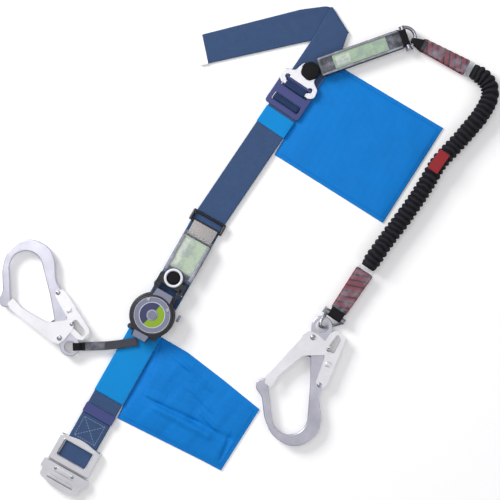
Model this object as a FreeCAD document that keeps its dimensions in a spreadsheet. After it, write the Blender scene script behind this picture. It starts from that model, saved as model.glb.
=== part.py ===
import FreeCAD, Part
import math
import os
import Sketcher
from FreeCAD import Placement, Rotation, Vector

# Work-positioning belt with two shock absorbing lanyards, laid flat on a table.
# Millimetres, +Z up, the table at z = 0. The belt runs from the buckle at the lower
# left to the folded tail at the upper right.

DIMENSIONS = {
    # webbing belt
    "webbing_width": 50.0,
    "webbing_thickness": 2.2,
    "belt_base": 3.4,
    "tail_base": 0.8,
    "fit_gap": 0.3,
    "running_gap": 0.05,
    "lower_run": 452.0,
    "double_layer_run": 84.0,
    # buckle
    "buckle_width": 72.8,
    "buckle_plate": 2.0,
    "buckle_wall": 2.4,
    "buckle_height": 9.5,
    "buckle_cover": 2.5,
    "buckle_pin_radius": 2.0,
    "buckle_pin_height": 6.0,
    "buckle_lever_width": 82.0,
    "buckle_rivet_radius": 2.6,
    # keeper and cloth
    "keeper_length": 16.5,
    "keeper_wall": 1.6,
    "cloth_wall": 1.3,
    "panel_thickness": 2.6,
    # adjuster and hanger plate
    "adjuster_thickness": 2.5,
    "adjuster_length": 56.0,
    "adjuster_width": 64.0,
    "slot_width": 50.0,
    "slot_height": 13.0,
    "hanger_thickness": 3.0,
    "hanger_base": 9.0,
    # ring and connector on the belt
    "ring_bar_radius": 2.3,
    "ring_bar_height": 9.7,
    "ring_width": 60.0,
    "ring_length": 20.0,
    "connector_wall": 1.2,
    # reel lanyard
    "cover_width": 51.0,
    "cover_length": 77.0,
    "cover_base": 7.2,
    "cover_height": 15.0,
    "cover_wall": 1.5,
    "tilt_axis_height": 16.0,
    "tilt_pin_radius": 3.0,
    "reel_radius": 37.0,
    "reel_base": 8.2,
    "reel_height": 25.0,
    "reel_wall": 2.0,
    "axle_radius": 4.0,
    "button_radius": 7.0,
    "spool_flange_radius": 31.0,
    "strap_width": 13.0,
    "strap_thickness": 2.4,
    # hooks
    "hook_plane": 11.2,
    "hook_thickness": 10.0,
    "eye_radius": 17.0,
    "eye_hole_radius": 10.5,
    "lever_inner": 10.6,
    "lever_wall": 1.5,
    "gate_inner": 14.2,
    "gate_wall": 1.5,
    "hook_pin_radius": 2.4,
    "hook_pin_head_radius": 3.4,
    "hook_pin_head": 1.0,
    "left_hook_scale": 0.94,
    # lanyard
    "lanyard_height": 13.0,
    "sleeve_height": 13.0,
    "upper_pack_width": 30.0,
    "upper_pack_length": 139.0,
    "red_pack_width": 25.0,
    "upper_red_pack_length": 88.0,
    "lower_red_pack_length": 82.0,
    "sleeve_wall": 1.0,
    "shackle_wire_radius": 3.0,
    "shackle_bolt_radius": 3.0,
    "bellows_radius": 14.0,
}

RING_CENTRE = (-47.0, 48.0)
LOWER_BELT_ANGLE = -29.5
UPPER_BELT_ANGLE = -34.0

document = FreeCAD.newDocument("ShockAbsorbingLanyard")
sheet = document.addObject("Spreadsheet::Sheet", "dim")
for row, (alias, size) in enumerate(DIMENSIONS.items(), start=1):
    sheet.set(f"A{row}", alias)
    sheet.set(f"B{row}", str(size))
    sheet.setAlias(f"B{row}", alias)
document.recompute()

nodes = []


def dim(name):
    """Read one driving dimension from the sheet."""
    return float(getattr(sheet, name))


def placed(x, y, angle=0.0, z=0.0):
    """Placement at a point of the table, turned about +Z by an angle in degrees."""
    return Placement(Vector(x, y, z), Rotation(Vector(0, 0, 1), angle))


ON_TABLE = placed(0.0, 0.0)
LOWER_BELT = placed(*RING_CENTRE, LOWER_BELT_ANGLE)
UPPER_BELT = placed(*RING_CENTRE, UPPER_BELT_ANGLE)


def keep(part):
    """Remember a finished sub-part, one node of the assembly."""
    nodes.append(part)
    return part


# ---------------------------------------------------------------- sketches and features

# the largest share of a side that the arc at one of its ends may take
SIDE_SHARE = 0.5


def outline_edges(corners):
    """Closed outline of straight sides joined by tangent arcs; corners are (x, y, radius)."""
    count = len(corners)
    entries = []
    exits = []
    arcs = []
    for index in range(count):
        before = Vector(*corners[index - 1][:2], 0)
        here = Vector(*corners[index][:2], 0)
        after = Vector(*corners[(index + 1) % count][:2], 0)
        radius = corners[index][2] if len(corners[index]) > 2 else 0.0
        back = (before - here).normalize()
        ahead = (after - here).normalize()
        if radius == 0.0:
            entries.append(here)
            exits.append(here)
            arcs.append(None)
            continue
        half_angle = back.getAngle(ahead) / 2
        room = SIDE_SHARE * min(before.distanceToPoint(here), after.distanceToPoint(here))
        reach = min(radius / math.tan(half_angle), room)
        radius = reach * math.tan(half_angle)
        first = here + back * reach
        last = here + ahead * reach
        bisector = (back + ahead).normalize()
        centre = here + bisector * (radius / math.sin(half_angle))
        entries.append(first)
        exits.append(last)
        arcs.append(Part.Arc(first, centre - bisector * radius, last))
    edges = []
    for index in range(count):
        if arcs[index]:
            edges.append(arcs[index])
        following = (index + 1) % count
        if exits[index].distanceToPoint(entries[following]) > 1e-6:
            edges.append(Part.LineSegment(exits[index], entries[following]))
    return edges


def rectangle(left, bottom, right, top, radius=0.0):
    """Corners of a rectangle with one corner radius."""
    return [(left, bottom, radius), (right, bottom, radius), (right, top, radius), (left, top, radius)]


def moved(corners, dx, dy, scale=1.0, mirror=False):
    """Scale, mirror and shift a list of outline corners."""
    sign = -1.0 if mirror else 1.0
    changed = [(dx + sign * scale * c[0], dy + scale * c[1], *[scale * r for r in c[2:]]) for c in corners]
    return changed[::-1] if mirror else changed


def new_body(label, place):
    """Start a PartDesign body, one sub-part of the assembly."""
    body = document.addObject("PartDesign::Body", label)
    body.Label = label
    body.Placement = place
    return keep(body)


def new_sketch(body, corners_list, base, circles=(), role="XY_Plane"):
    """Sketch closed outlines and circles, parallel to an origin plane and base above it."""
    sketch = body.newObject("Sketcher::SketchObject", f"{body.Label}_sketch")
    plane = next(item for item in body.Origin.OriginFeatures if item.Role == role)
    sketch.AttachmentSupport = [(plane, "")]
    sketch.MapMode = "FlatFace"
    sketch.setExpression(".AttachmentOffset.Base.z", base)
    for corners in corners_list:
        for edge in outline_edges(corners):
            sketch.addGeometry(edge, False)
    for x, y, radius in circles:
        index = sketch.addGeometry(Part.Circle(Vector(x, y, 0), Vector(0, 0, 1), 1.0), False)
        rule = sketch.addConstraint(Sketcher.Constraint("Radius", index, 1.0))
        sketch.setExpression(f"Constraints[{rule}]", radius)
    return sketch


def pad(body, corners, base, length, circles=(), role="XY_Plane"):
    """Pad an outline with its round holes upwards from base."""
    outlines = [corners] if corners else []
    sketch = new_sketch(body, outlines, base, circles, role)
    feature = body.newObject("PartDesign::Pad", f"{body.Label}_pad")
    feature.Profile = sketch
    feature.setExpression("Length", length)
    body.Tip = feature
    return feature


def cut(body, corners_list, top, depth=None, circles=(), role="XY_Plane"):
    """Pocket outlines and circles downwards from top, through everything if depth is None."""
    document.recompute()
    before = body.Shape.Volume
    sketch = new_sketch(body, corners_list, top, circles, role)
    feature = body.newObject("PartDesign::Pocket", f"{body.Label}_cut")
    feature.Profile = sketch
    if depth is None:
        feature.Type = "ThroughAll"
    else:
        feature.setExpression("Length", depth)
    body.Tip = feature
    document.recompute()
    if before - body.Shape.Volume < 0.5:
        raise RuntimeError(f"{body.Label}: a cut removed nothing")
    return feature


def round_edges(body, radius, chooses):
    """Fillet the edges of the body's shape that a test picks out."""
    document.recompute()
    base = body.Tip
    names = [f"Edge{i}" for i, edge in enumerate(base.Shape.Edges, start=1) if chooses(edge)]
    feature = body.newObject("PartDesign::Fillet", f"{body.Label}_fillet")
    feature.Base = (base, names)
    feature.Radius = radius
    body.Tip = feature
    return feature


def at_heights(*heights):
    """Test for an edge that lies flat at one of the heights."""
    def chooses(edge):
        box = edge.BoundBox
        flat = box.ZMax - box.ZMin < 1e-4
        return flat and any(abs(box.ZMin - height) < 1e-4 for height in heights)
    return chooses


def solid_feature(label, shape, place=ON_TABLE):
    """Keep a shape that is worked out in code as a sub-part."""
    feature = document.addObject("Part::Feature", label)
    feature.Label = label
    feature.Shape = shape
    feature.Placement = place
    return keep(feature)


def cylinder(label, radius, length, place):
    """Plain Part cylinder bound to the sheet, a sub-part of its own."""
    part = document.addObject("Part::Cylinder", label)
    part.Label = label
    part.setExpression("Radius", radius)
    part.setExpression("Height", length)
    part.Placement = place
    return keep(part)


def rod(start, end, radius):
    """Round rod between two points."""
    along = Vector(*end) - Vector(*start)
    return Part.makeCylinder(radius, along.Length, Vector(*start), along)


def block(left, front, low, right, back, high):
    """Box between two corners."""
    return Part.makeBox(right - left, back - front, high - low, Vector(left, front, low))


# ---------------------------------------------------------------- cords and bent wire

def smooth_path(points, share=0.45):
    """Straight runs joined by tangent arcs; returns the wire, its radii and its length."""
    stops = [Vector(*point) for point in points]
    edges = []
    radii = []
    start = stops[0]
    for index in range(1, len(stops) - 1):
        here = stops[index]
        back = stops[index - 1] - here
        ahead = stops[index + 1] - here
        run = min(back.Length, ahead.Length)
        half_turn = (math.pi - back.getAngle(ahead)) / 2
        reach = share * run
        radius = reach / math.tan(half_turn)
        radii.append(radius)
        back.normalize()
        ahead.normalize()
        first = here + back * reach
        last = here + ahead * reach
        bisector = (back + ahead).normalize()
        centre = here + bisector * (radius / math.cos(half_turn))
        edges.append(Part.LineSegment(start, first).toShape())
        edges.append(Part.Arc(first, centre - bisector * radius, last).toShape())
        start = last
    edges.append(Part.LineSegment(start, stops[-1]).toShape())
    wire = Part.Wire(edges)
    return wire, radii, wire.Length


def carry(section, wire, area, name):
    """Carry a closed section along a path and compare the volume with area times length."""
    solid = wire.makePipeShell([section], True, True)
    expected = area * wire.Length
    error = abs(solid.Volume - expected) / expected
    print(f"{name}: length {wire.Length:.1f}, volume off by {100 * error:.2f} per cent")
    if error > 0.02:
        raise RuntimeError(f"{name}: the tube's volume is wrong")
    return solid


def round_tube(points, radius, name):
    """Solid round tube along a smooth path of straight runs and arcs."""
    wire, radii, _length = smooth_path(points)
    print(f"{name}: smallest bend radius {min(radii):.1f}")
    along = Vector(*points[1]) - Vector(*points[0])
    section = Part.Wire(Part.makeCircle(radius, Vector(*points[0]), along))
    return carry(section, wire, math.pi * radius ** 2, name)


# ---------------------------------------------------------------- waist belt

FOLD_TOP = (154.0, 397.0)
FOLD_END = (180.5, 355.3)


def belt_point(across, along, angle):
    """Point of the table from belt coordinates measured at the ring."""
    turn = Rotation(Vector(0, 0, 1), angle)
    point = turn.multVec(Vector(across, along, 0)) + Vector(*RING_CENTRE, 0)
    return (point.x, point.y)


def build_waist_belt():
    """Belt webbing: two runs, the fold at the top, the tail under it and the doubled end."""
    half = dim("webbing_width") / 2
    run = dim("lower_run")
    body = new_body("waist_belt", ON_TABLE)
    low_left = belt_point(-half, -run, LOWER_BELT_ANGLE)
    low_right = belt_point(half, -run, LOWER_BELT_ANGLE)
    bend_left = belt_point(-half, 0.0, (LOWER_BELT_ANGLE + UPPER_BELT_ANGLE) / 2)
    bend_right = belt_point(half, 0.0, (LOWER_BELT_ANGLE + UPPER_BELT_ANGLE) / 2)
    top_left = belt_point(-half, 342.0, UPPER_BELT_ANGLE)
    top_right = belt_point(half, 350.0, UPPER_BELT_ANGLE)
    main = [low_left, low_right, bend_right, top_right, FOLD_END, FOLD_TOP, top_left, bend_left]
    pad(body, main, "dim.belt_base", "dim.webbing_thickness")
    fold_strip = [FOLD_TOP, (150.3, 394.0), (176.2, 353.6), FOLD_END]
    pad(body, fold_strip, "dim.tail_base", "dim.belt_base - dim.tail_base + 0.5 * dim.webbing_thickness")
    tail = [FOLD_TOP, (146.0, 399.0), (104.4, 393.6), (-57.0, 352.6), (-48.0, 306.5), (124.0, 344.7), FOLD_END]
    pad(body, tail, "dim.tail_base", "dim.webbing_thickness")
    doubled = dim("double_layer_run")
    layer = [
        low_left,
        low_right,
        belt_point(half, doubled - run, LOWER_BELT_ANGLE),
        belt_point(-half, doubled - run, LOWER_BELT_ANGLE),
    ]
    pad(body, layer, "dim.belt_base + dim.webbing_thickness", "dim.webbing_thickness")
    for low, high, reach in WEAVES:
        corners = [
            belt_point(x, y, UPPER_BELT_ANGLE)
            for x, y in ((-23.0 + WEAVE_CENTRE, low), (23.0 + WEAVE_CENTRE, low),
                         (23.0 + WEAVE_CENTRE, high), (-23.0 + WEAVE_CENTRE, high))
        ]
        pad(body, corners, "dim.belt_base + dim.webbing_thickness", reach)
    half_roll = ROLL_HALF_WIDTH
    for low, high, base, length in ROLL_LAYERS:
        corners = [
            belt_point(x, y, UPPER_BELT_ANGLE)
            for x, y in ((HANGER_CENTRE - half_roll, low), (HANGER_CENTRE + half_roll, low),
                         (HANGER_CENTRE + half_roll, high), (HANGER_CENTRE - half_roll, high))
        ]
        pad(body, corners, base, length)


# webbing that rises through the adjuster's lower slot: along from, along to, height
WEAVE_CENTRE = -2.6
ADJUSTER_BOTTOM = 216.0
LOWER_SLOT = 231.5
UPPER_SLOT = 258.0
WEAVES = [(226.5, 236.5, "2.8")]
# webbing wound over the hanger plate's bar: front wall, back wall, top
HANGER_CENTRE = -3.0
HANGER_BAR = 257.0
HANGER_BAR_DEPTH = 6.0
ROLL_HALF_WIDTH = 18.0
ROLL_TOP = "dim.hanger_base + dim.hanger_thickness + dim.fit_gap"
ROLL_LAYERS = [
    (253.4, 255.7, "dim.belt_base + dim.webbing_thickness",
     "dim.hanger_base + dim.hanger_thickness + dim.fit_gap - dim.belt_base - 0.5 * dim.webbing_thickness"),
    (263.3, 265.6, "dim.belt_base + dim.webbing_thickness",
     "dim.hanger_base + dim.hanger_thickness + dim.fit_gap - dim.belt_base - 0.5 * dim.webbing_thickness"),
    (253.4, 265.6, ROLL_TOP, "dim.webbing_thickness"),
]


def build_belt_tip():
    """Metal cap folded over the cut end of the tail."""
    body = new_body("belt_tip_cap", placed(-52.0, 329.5, 12.0))
    pad(body, rectangle(-12.6, -24.4, 0.6, 24.4, 1.0), "0", "2 * dim.tail_base + dim.webbing_thickness")
    document.recompute()
    mouth = [rectangle(-5.5, -27.0, 2.0, 27.0)]
    cut(body, mouth, "dim.tail_base + dim.webbing_thickness + dim.running_gap",
        "dim.webbing_thickness + 2 * dim.running_gap")


# ---------------------------------------------------------------- buckle and keeper

BUCKLE_CENTRE = -1.3
BUCKLE_TOP = -411.0
LEVER_AXIS = -466.0
# room round the lever's pin: radius of the lug left on the base, and how far the lever's heel sweeps
LUG_RADIUS = 3.4
HEEL_REACH = 7.3


def lever_relief():
    """Outline, along and up, of the wall cut away so that the lever's heel can swing down."""
    height = dim("buckle_pin_height")
    floor = dim("buckle_plate") + dim("running_gap")
    above = dim("buckle_height") + 1.0
    lug = [(LEVER_AXIS + LUG_RADIUS * math.cos(math.radians(angle)),
            height + LUG_RADIUS * math.sin(math.radians(angle))) for angle in (0, 30, 60, 90)]
    heel = LEVER_AXIS + HEEL_REACH
    return [(LEVER_AXIS + LUG_RADIUS, floor), *lug, (LEVER_AXIS, above), (heel, above), (heel, floor)][::-1]


def build_buckle():
    """Side walled base, windowed cover, thumb lever with two rivets, and its hinge pin."""
    half = dim("buckle_width") / 2
    wall = dim("buckle_wall")
    left = BUCKLE_CENTRE - half
    right = BUCKLE_CENTRE + half
    base = new_body("buckle_base", LOWER_BELT)
    pad(base, rectangle(left, LEVER_AXIS - 5.5, right, BUCKLE_TOP - 3.0), "0", "dim.buckle_plate")
    for inner, outer in ((left, left + wall), (right - wall, right)):
        pad(base, rectangle(inner, LEVER_AXIS - 5.5, outer, BUCKLE_TOP - 3.0), "0", "dim.buckle_height")
    axis = (LEVER_AXIS, dim("buckle_pin_height"), "dim.buckle_pin_radius + dim.running_gap")
    cut(base, [], "60", None, [axis], "YZ_Plane")
    cut(base, [lever_relief()], "60", None, [], "YZ_Plane")

    cover = new_body("buckle_cover", LOWER_BELT)
    top_edge = BUCKLE_TOP - 4.0
    frame = [
        (left, LEVER_AXIS + 7.4, 1.5), (right, LEVER_AXIS + 7.4, 1.5), (right, top_edge, 5.0),
        (BUCKLE_CENTRE, top_edge + 7.0, 60.0), (left, top_edge, 5.0),
    ]
    pad(cover, frame, "dim.buckle_height", "dim.buckle_cover")
    cut(cover, [rectangle(-27.8, -447.5, 23.4, -420.5, 1.5)], "dim.buckle_height + dim.buckle_cover")
    top = dim("buckle_height") + dim("buckle_cover")
    round_edges(cover, 0.9, at_heights(top))

    lever = new_body("buckle_lever", LOWER_BELT)
    reach = dim("buckle_lever_width") / 2
    grip = [
        (BUCKLE_CENTRE - reach, -475.5, 2.0), (BUCKLE_CENTRE - 36.0, -478.5, 2.0),
        (BUCKLE_CENTRE - 35.5, -489.5, 6.0), (BUCKLE_CENTRE - 1.0, -499.5, 70.0),
        (BUCKLE_CENTRE + 35.5, -492.0, 6.0), (BUCKLE_CENTRE + 36.0, -478.5, 2.0),
        (BUCKLE_CENTRE + reach, -475.5, 2.0), (BUCKLE_CENTRE + reach, LEVER_AXIS + 3.8, 1.0),
        (BUCKLE_CENTRE - reach, LEVER_AXIS + 3.8, 1.0),
    ]
    pad(lever, grip[::-1], "dim.buckle_height", "dim.buckle_cover")
    tab = [
        (BUCKLE_CENTRE - 33.0, -479.5, 1.0), (BUCKLE_CENTRE - 33.0, -489.0, 5.0),
        (BUCKLE_CENTRE - 1.0, -497.5, 70.0), (BUCKLE_CENTRE + 33.0, -491.0, 5.0),
        (BUCKLE_CENTRE + 33.0, -479.5, 1.0),
    ]
    pad(lever, tab, "dim.buckle_height - 3.5", "3.8")
    for side in (-1.0, 1.0):
        outer = BUCKLE_CENTRE + side * reach
        inner = BUCKLE_CENTRE + side * (half + dim("fit_gap"))
        ear = rectangle(min(inner, outer), LEVER_AXIS - 5.0, max(inner, outer), LEVER_AXIS + 3.8, 1.0)
        pad(lever, ear, "dim.buckle_pin_height - 3.2", "dim.buckle_height + 3.4 - dim.buckle_pin_height")
    cut(lever, [], "60", None, [axis], "YZ_Plane")
    rivet_holes = [(x, LEVER_AXIS - 2.5, "dim.buckle_rivet_radius - 0.8") for x in RIVET_PLACES]
    cut(lever, [], "dim.buckle_height + dim.buckle_cover", None, rivet_holes)
    for groove in range(3):
        line = -481.5 - 3.2 * groove
        slot = rectangle(BUCKLE_CENTRE - 26.0, line - 0.7, BUCKLE_CENTRE + 26.0, line + 0.7)
        cut(lever, [slot], "dim.buckle_height + dim.buckle_cover", "0.8")

    rivets = []
    for x in RIVET_PLACES:
        radius = dim("buckle_rivet_radius")
        shank_radius = radius - 0.8 - dim("running_gap")
        head = Part.makeCylinder(radius, 0.8, Vector(x, LEVER_AXIS - 2.5, top))
        shank = Part.makeCylinder(shank_radius, dim("buckle_cover"),
                                  Vector(x, LEVER_AXIS - 2.5, dim("buckle_height")))
        rivets.append(head.fuse(shank).removeSplitter())
    solid_feature("buckle_rivets", Part.makeCompound(rivets), LOWER_BELT)

    pin_place = LOWER_BELT.multiply(Placement(
        Vector(BUCKLE_CENTRE - reach, LEVER_AXIS, dim("buckle_pin_height")), Rotation(Vector(0, 1, 0), 90)))
    cylinder("buckle_hinge_pin", "dim.buckle_pin_radius", "dim.buckle_lever_width", pin_place)


RIVET_PLACES = (-17.9, 12.6)

KEEPER_TOP = -350.0


def build_keeper():
    """Plastic keeper round the doubled webbing below the pouch; it slides along the belt."""
    half = dim("webbing_width") / 2
    body = new_body("belt_keeper", LOWER_BELT)
    outer = half + dim("fit_gap") + dim("keeper_wall")
    inner = half + dim("fit_gap")
    bottom = KEEPER_TOP - dim("keeper_length")
    pad(body, rectangle(-outer, bottom, outer, KEEPER_TOP, 2.5), "dim.belt_base - dim.fit_gap - dim.keeper_wall",
        "2 * dim.webbing_thickness + 2 * dim.fit_gap + 2 * dim.keeper_wall")
    tunnel = [rectangle(-inner, bottom - 5.0, inner, KEEPER_TOP + 5.0)]
    cut(body, tunnel, "dim.belt_base + 2 * dim.webbing_thickness + dim.fit_gap",
        "2 * dim.webbing_thickness + 2 * dim.fit_gap")
    height = dim("belt_base") + 2 * dim("webbing_thickness") + dim("fit_gap") + dim("keeper_wall")
    round_edges(body, 0.6, at_heights(height))


# ---------------------------------------------------------------- cloth pouches

def sleeve_round_belt(body, left, right, bottom, top):
    """Flat cloth tube round the belt between two stations along it."""
    tall = "dim.webbing_thickness + 2 * dim.fit_gap + 2 * dim.cloth_wall"
    pad(body, rectangle(left, bottom, right, top), "dim.belt_base - dim.fit_gap - dim.cloth_wall", tall)
    half = dim("webbing_width") / 2 + dim("fit_gap")
    cut(body, [rectangle(-half, bottom - 5.0, half, top + 5.0)],
        "dim.belt_base + dim.webbing_thickness + dim.fit_gap", "dim.webbing_thickness + 2 * dim.fit_gap")


def build_pouches():
    """Two cloth pouches: a sleeve round the belt and a flat panel beside it."""
    side = dim("webbing_width") / 2 + dim("fit_gap") + dim("cloth_wall")
    sleeve = new_body("lower_pouch_sleeve", LOWER_BELT)
    sleeve_round_belt(sleeve, -side, side, -327.5, -201.0)
    panel = new_body("lower_pouch_panel", LOWER_BELT)
    outline = [
        (side, -201.0), (76.0, -201.5, 30.0), (147.0, -211.5, 30.0), (223.0, -224.5, 2.0),
        (217.5, -341.5, 2.0), (183.0, -342.5, 30.0), (29.0, -350.5, 2.0), (side, -327.5),
    ]
    pad(panel, outline, "0", "dim.panel_thickness")

    upper = new_body("upper_pouch", UPPER_BELT)
    sleeve_round_belt(upper, -side, side, 181.5, 212.0)
    flap = [
        (side, 181.5), (25.5 + 3.5, 152.0, 2.0), (236.5, 158.5, 2.0), (232.0, 341.0, 2.0),
        (36.5, 329.5, 2.0), (36.5, 213.0), (side, 212.0),
    ]
    pad(upper, flap, "0", "dim.panel_thickness")
    pad(upper, rectangle(side - dim("cloth_wall"), 181.5, side, 212.0), "0", "dim.panel_thickness")


# ---------------------------------------------------------------- adjuster and hanger plate

def build_adjuster():
    """Three bar adjuster plate that lies on the belt, its two slots filled by webbing."""
    half = dim("adjuster_width") / 2
    body = new_body("slide_adjuster_plate", UPPER_BELT)
    corners = rectangle(WEAVE_CENTRE - half, ADJUSTER_BOTTOM, WEAVE_CENTRE + half,
                        ADJUSTER_BOTTOM + dim("adjuster_length"), 5.0)
    pad(body, corners, "dim.belt_base + dim.webbing_thickness + dim.fit_gap", "dim.adjuster_thickness")
    half_slot = dim("slot_width") / 2
    half_height = dim("slot_height") / 2
    slots = [
        rectangle(WEAVE_CENTRE - half_slot, along - half_height, WEAVE_CENTRE + half_slot, along + half_height, 2.0)
        for along in (LOWER_SLOT, UPPER_SLOT + 1.5)
    ]
    top = dim("belt_base") + dim("webbing_thickness") + dim("fit_gap") + dim("adjuster_thickness")
    cut(body, slots, "dim.belt_base + dim.webbing_thickness + dim.fit_gap + dim.adjuster_thickness")
    round_edges(body, 0.9, at_heights(top))


def build_hanger_plate():
    """Steel hanger plate: two claws joined by a bar under the webbing, and a neck for the loop."""
    body = new_body("hanger_plate", UPPER_BELT)
    centre = HANGER_CENTRE
    outline = [
        (centre - 26.5, 256.0, 2.5), (centre + 26.5, 256.0, 2.5), (centre + 34.5, 262.0, 8.0),
        (centre + 32.0, 276.0, 9.0), (centre + 19.0, 284.0, 8.0), (centre + 16.5, HANGER_NECK_TOP, 6.0),
        (centre - 11.5, HANGER_NECK_TOP, 6.0), (centre - 16.5, 284.0, 8.0), (centre - 31.0, 279.0, 9.0),
        (centre - 34.5, 263.0, 8.0),
    ]
    pad(body, outline, "dim.hanger_base", "dim.hanger_thickness")
    bar_top = HANGER_BAR + HANGER_BAR_DEPTH
    slot = [
        (centre - 21.0, bar_top), (centre + 21.0, bar_top), (centre + 21.0, 269.5), (centre - 21.0, 269.5),
    ]
    notches = [(centre - 21.6, 269.0, "4"), (centre + 21.6, 269.0, "4")]
    cut(body, [slot], "dim.hanger_base + dim.hanger_thickness")
    for notch in notches:
        cut(body, [], "dim.hanger_base + dim.hanger_thickness", None, [notch])
    cut(body, [rectangle(HANGER_CENTRE - 8.0, 286.0, HANGER_CENTRE + 13.0, 296.0, 3.0)],
        "dim.hanger_base + dim.hanger_thickness")
    top = dim("hanger_base") + dim("hanger_thickness")
    round_edges(body, 0.8, at_heights(top))


# ---------------------------------------------------------------- ring and connector on the belt

CONNECTOR_BAR = -8.0


def build_belt_ring():
    """Steel ring on the belt: two round bars over it, end loops, and a flat bar under it."""
    radius = dim("ring_bar_radius")
    height = dim("ring_bar_height")
    half = dim("ring_width") / 2 - radius
    top_bar = CONNECTOR_BAR + dim("ring_length") - 2 * radius
    low = dim("belt_base") - dim("fit_gap")
    clear = dim("webbing_width") / 2 + 2 * dim("fit_gap")
    shape = rod((-half, CONNECTOR_BAR, height), (half, CONNECTOR_BAR, height), radius)
    shape = shape.fuse(rod((-half, top_bar, height), (half, top_bar, height), radius))
    for side in (-1.0, 1.0):
        end = rod((side * half, CONNECTOR_BAR, height), (side * half, top_bar, height), radius)
        for y in (CONNECTOR_BAR, top_bar):
            end = end.fuse(Part.makeSphere(radius, Vector(side * half, y, height)))
        inner = side * clear
        outer = side * (half + radius)
        middle = (CONNECTOR_BAR + top_bar) / 2
        leg = block(min(inner, outer), middle - 4.0, 0.6, max(inner, outer), middle + 4.0, height)
        shape = shape.fuse(end).fuse(leg)
    middle = (CONNECTOR_BAR + top_bar) / 2
    under = block(-half, middle - 4.0, 0.6, half, middle + 4.0, low)
    solid_feature("belt_ring", shape.fuse(under).removeSplitter(), LOWER_BELT)


def build_connector():
    """Rolled steel plate that hangs the absorber on the ring's lower bar."""
    inner = dim("ring_bar_radius") + dim("running_gap")
    outer = inner + dim("connector_wall")
    height = dim("ring_bar_height")
    left, right = -20.3, 22.3
    roll = rod((left, CONNECTOR_BAR, height), (right, CONNECTOR_BAR, height), outer)
    plate = block(left, -33.5, height - 0.2, right, CONNECTOR_BAR, height + outer)
    plate = plate.cut(block(left - 1, -40.0, height + dim("connector_wall"), right + 1,
                            CONNECTOR_BAR - outer, height + outer + 1))
    shape = roll.fuse(plate)
    bore = rod((left - 1, CONNECTOR_BAR, height), (right + 1, CONNECTOR_BAR, height), inner)
    solid_feature("ring_connector", shape.cut(bore).removeSplitter(), LOWER_BELT)


# ---------------------------------------------------------------- absorber unit over the reel

COVER_TOP = -27.0
TILT_AXIS = -126.0
TILT_CENTRE = -1.9
EYELET = (-2.9, -106.0)


def build_absorber_unit():
    """Clear cover with a folded webbing absorber and its label, a yoke and two tilt pins."""
    half = dim("cover_width") / 2
    centre = 0.7
    bottom = COVER_TOP - dim("cover_length")
    cover = new_body("absorber_cover", LOWER_BELT)
    pad(cover, rectangle(centre - half, bottom, centre + half, COVER_TOP, 2.5), "dim.cover_base", "dim.cover_height")
    wall = dim("cover_wall")
    cut(cover, [rectangle(centre - half + wall, bottom - 5.0, centre + half - wall, COVER_TOP + 5.0)],
        "dim.cover_base + dim.cover_height - dim.cover_wall", "dim.cover_height - 2 * dim.cover_wall")
    top = dim("cover_base") + dim("cover_height")
    round_edges(cover, 0.7, at_heights(top))

    fold = new_body("absorber_webbing", LOWER_BELT)
    inside = half - wall - dim("fit_gap")
    pad(fold, rectangle(centre - inside + 1.0, -88.0, centre + inside - 1.0, -35.0, 2.0),
        "dim.cover_base + dim.cover_wall + dim.fit_gap", "dim.cover_height - 2 * dim.cover_wall - 1.4")
    label = new_body("absorber_label", LOWER_BELT)
    pad(label, rectangle(centre - inside + 0.5, -91.0, centre + inside - 0.5, -35.0, 1.5),
        "dim.cover_base + dim.cover_height - dim.cover_wall - 0.8", "0.5")

    yoke = new_body("reel_yoke", LOWER_BELT)
    tongue = [
        (TILT_CENTRE - 19.0, -121.5, 1.0), (TILT_CENTRE + 18.0, -121.5, 1.0),
        (TILT_CENTRE + 15.5, -100.0, 6.0), (TILT_CENTRE - 17.0, -100.0, 6.0),
    ]
    pad(yoke, tongue, "dim.cover_base + dim.cover_height + dim.fit_gap", "2.5", [(*EYELET, "10.5")])
    pad(yoke, [], "dim.cover_base + dim.cover_height + dim.fit_gap", "2.5",
        [(*EYELET, "16.5"), (*EYELET, "10.5")])
    for side in (-1.0, 1.0):
        inner = TILT_CENTRE + side * 20.5
        outer = TILT_CENTRE + side * 24.0
        arm = rectangle(min(inner, outer), -131.0, max(inner, outer), -106.0, 1.2)
        pad(yoke, arm, "dim.tilt_axis_height - 5", "dim.cover_base + dim.cover_height + dim.fit_gap + 7.5 - dim.tilt_axis_height")
        foot_inner = TILT_CENTRE + side * 14.0
        foot = rectangle(min(foot_inner, outer), -116.5, max(foot_inner, outer), -108.0, 1.0)
        pad(yoke, foot, "dim.cover_base + dim.cover_height + dim.fit_gap", "2.5")
    axis = (TILT_AXIS, dim("tilt_axis_height"), "dim.tilt_pin_radius + dim.running_gap")
    cut(yoke, [], "60", None, [axis], "YZ_Plane")

    pins = []
    for side in (-1.0, 1.0):
        start = (TILT_CENTRE + side * 15.0, TILT_AXIS, dim("tilt_axis_height"))
        end = (TILT_CENTRE + side * 25.5, TILT_AXIS, dim("tilt_axis_height"))
        pins.append(rod(start, end, dim("tilt_pin_radius")))
    solid_feature("reel_tilt_pins", Part.makeCompound(pins), LOWER_BELT)


# ---------------------------------------------------------------- retracting reel

REEL_CENTRE = (-3.4, -174.3)
NOZZLE_END = -218.0
STRAP_ROUTE = [(-161.4, -146.1), (-172.0, -147.4), (-190.0, -150.4), (-211.0, -152.7), (-231.0, -153.4),
               (-249.5, -153.9)]
SLEEVE_START = (-213.0, -152.8)
SLEEVE_LENGTH = 38.0
SLEEVE_ANGLE = 181.8


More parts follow.
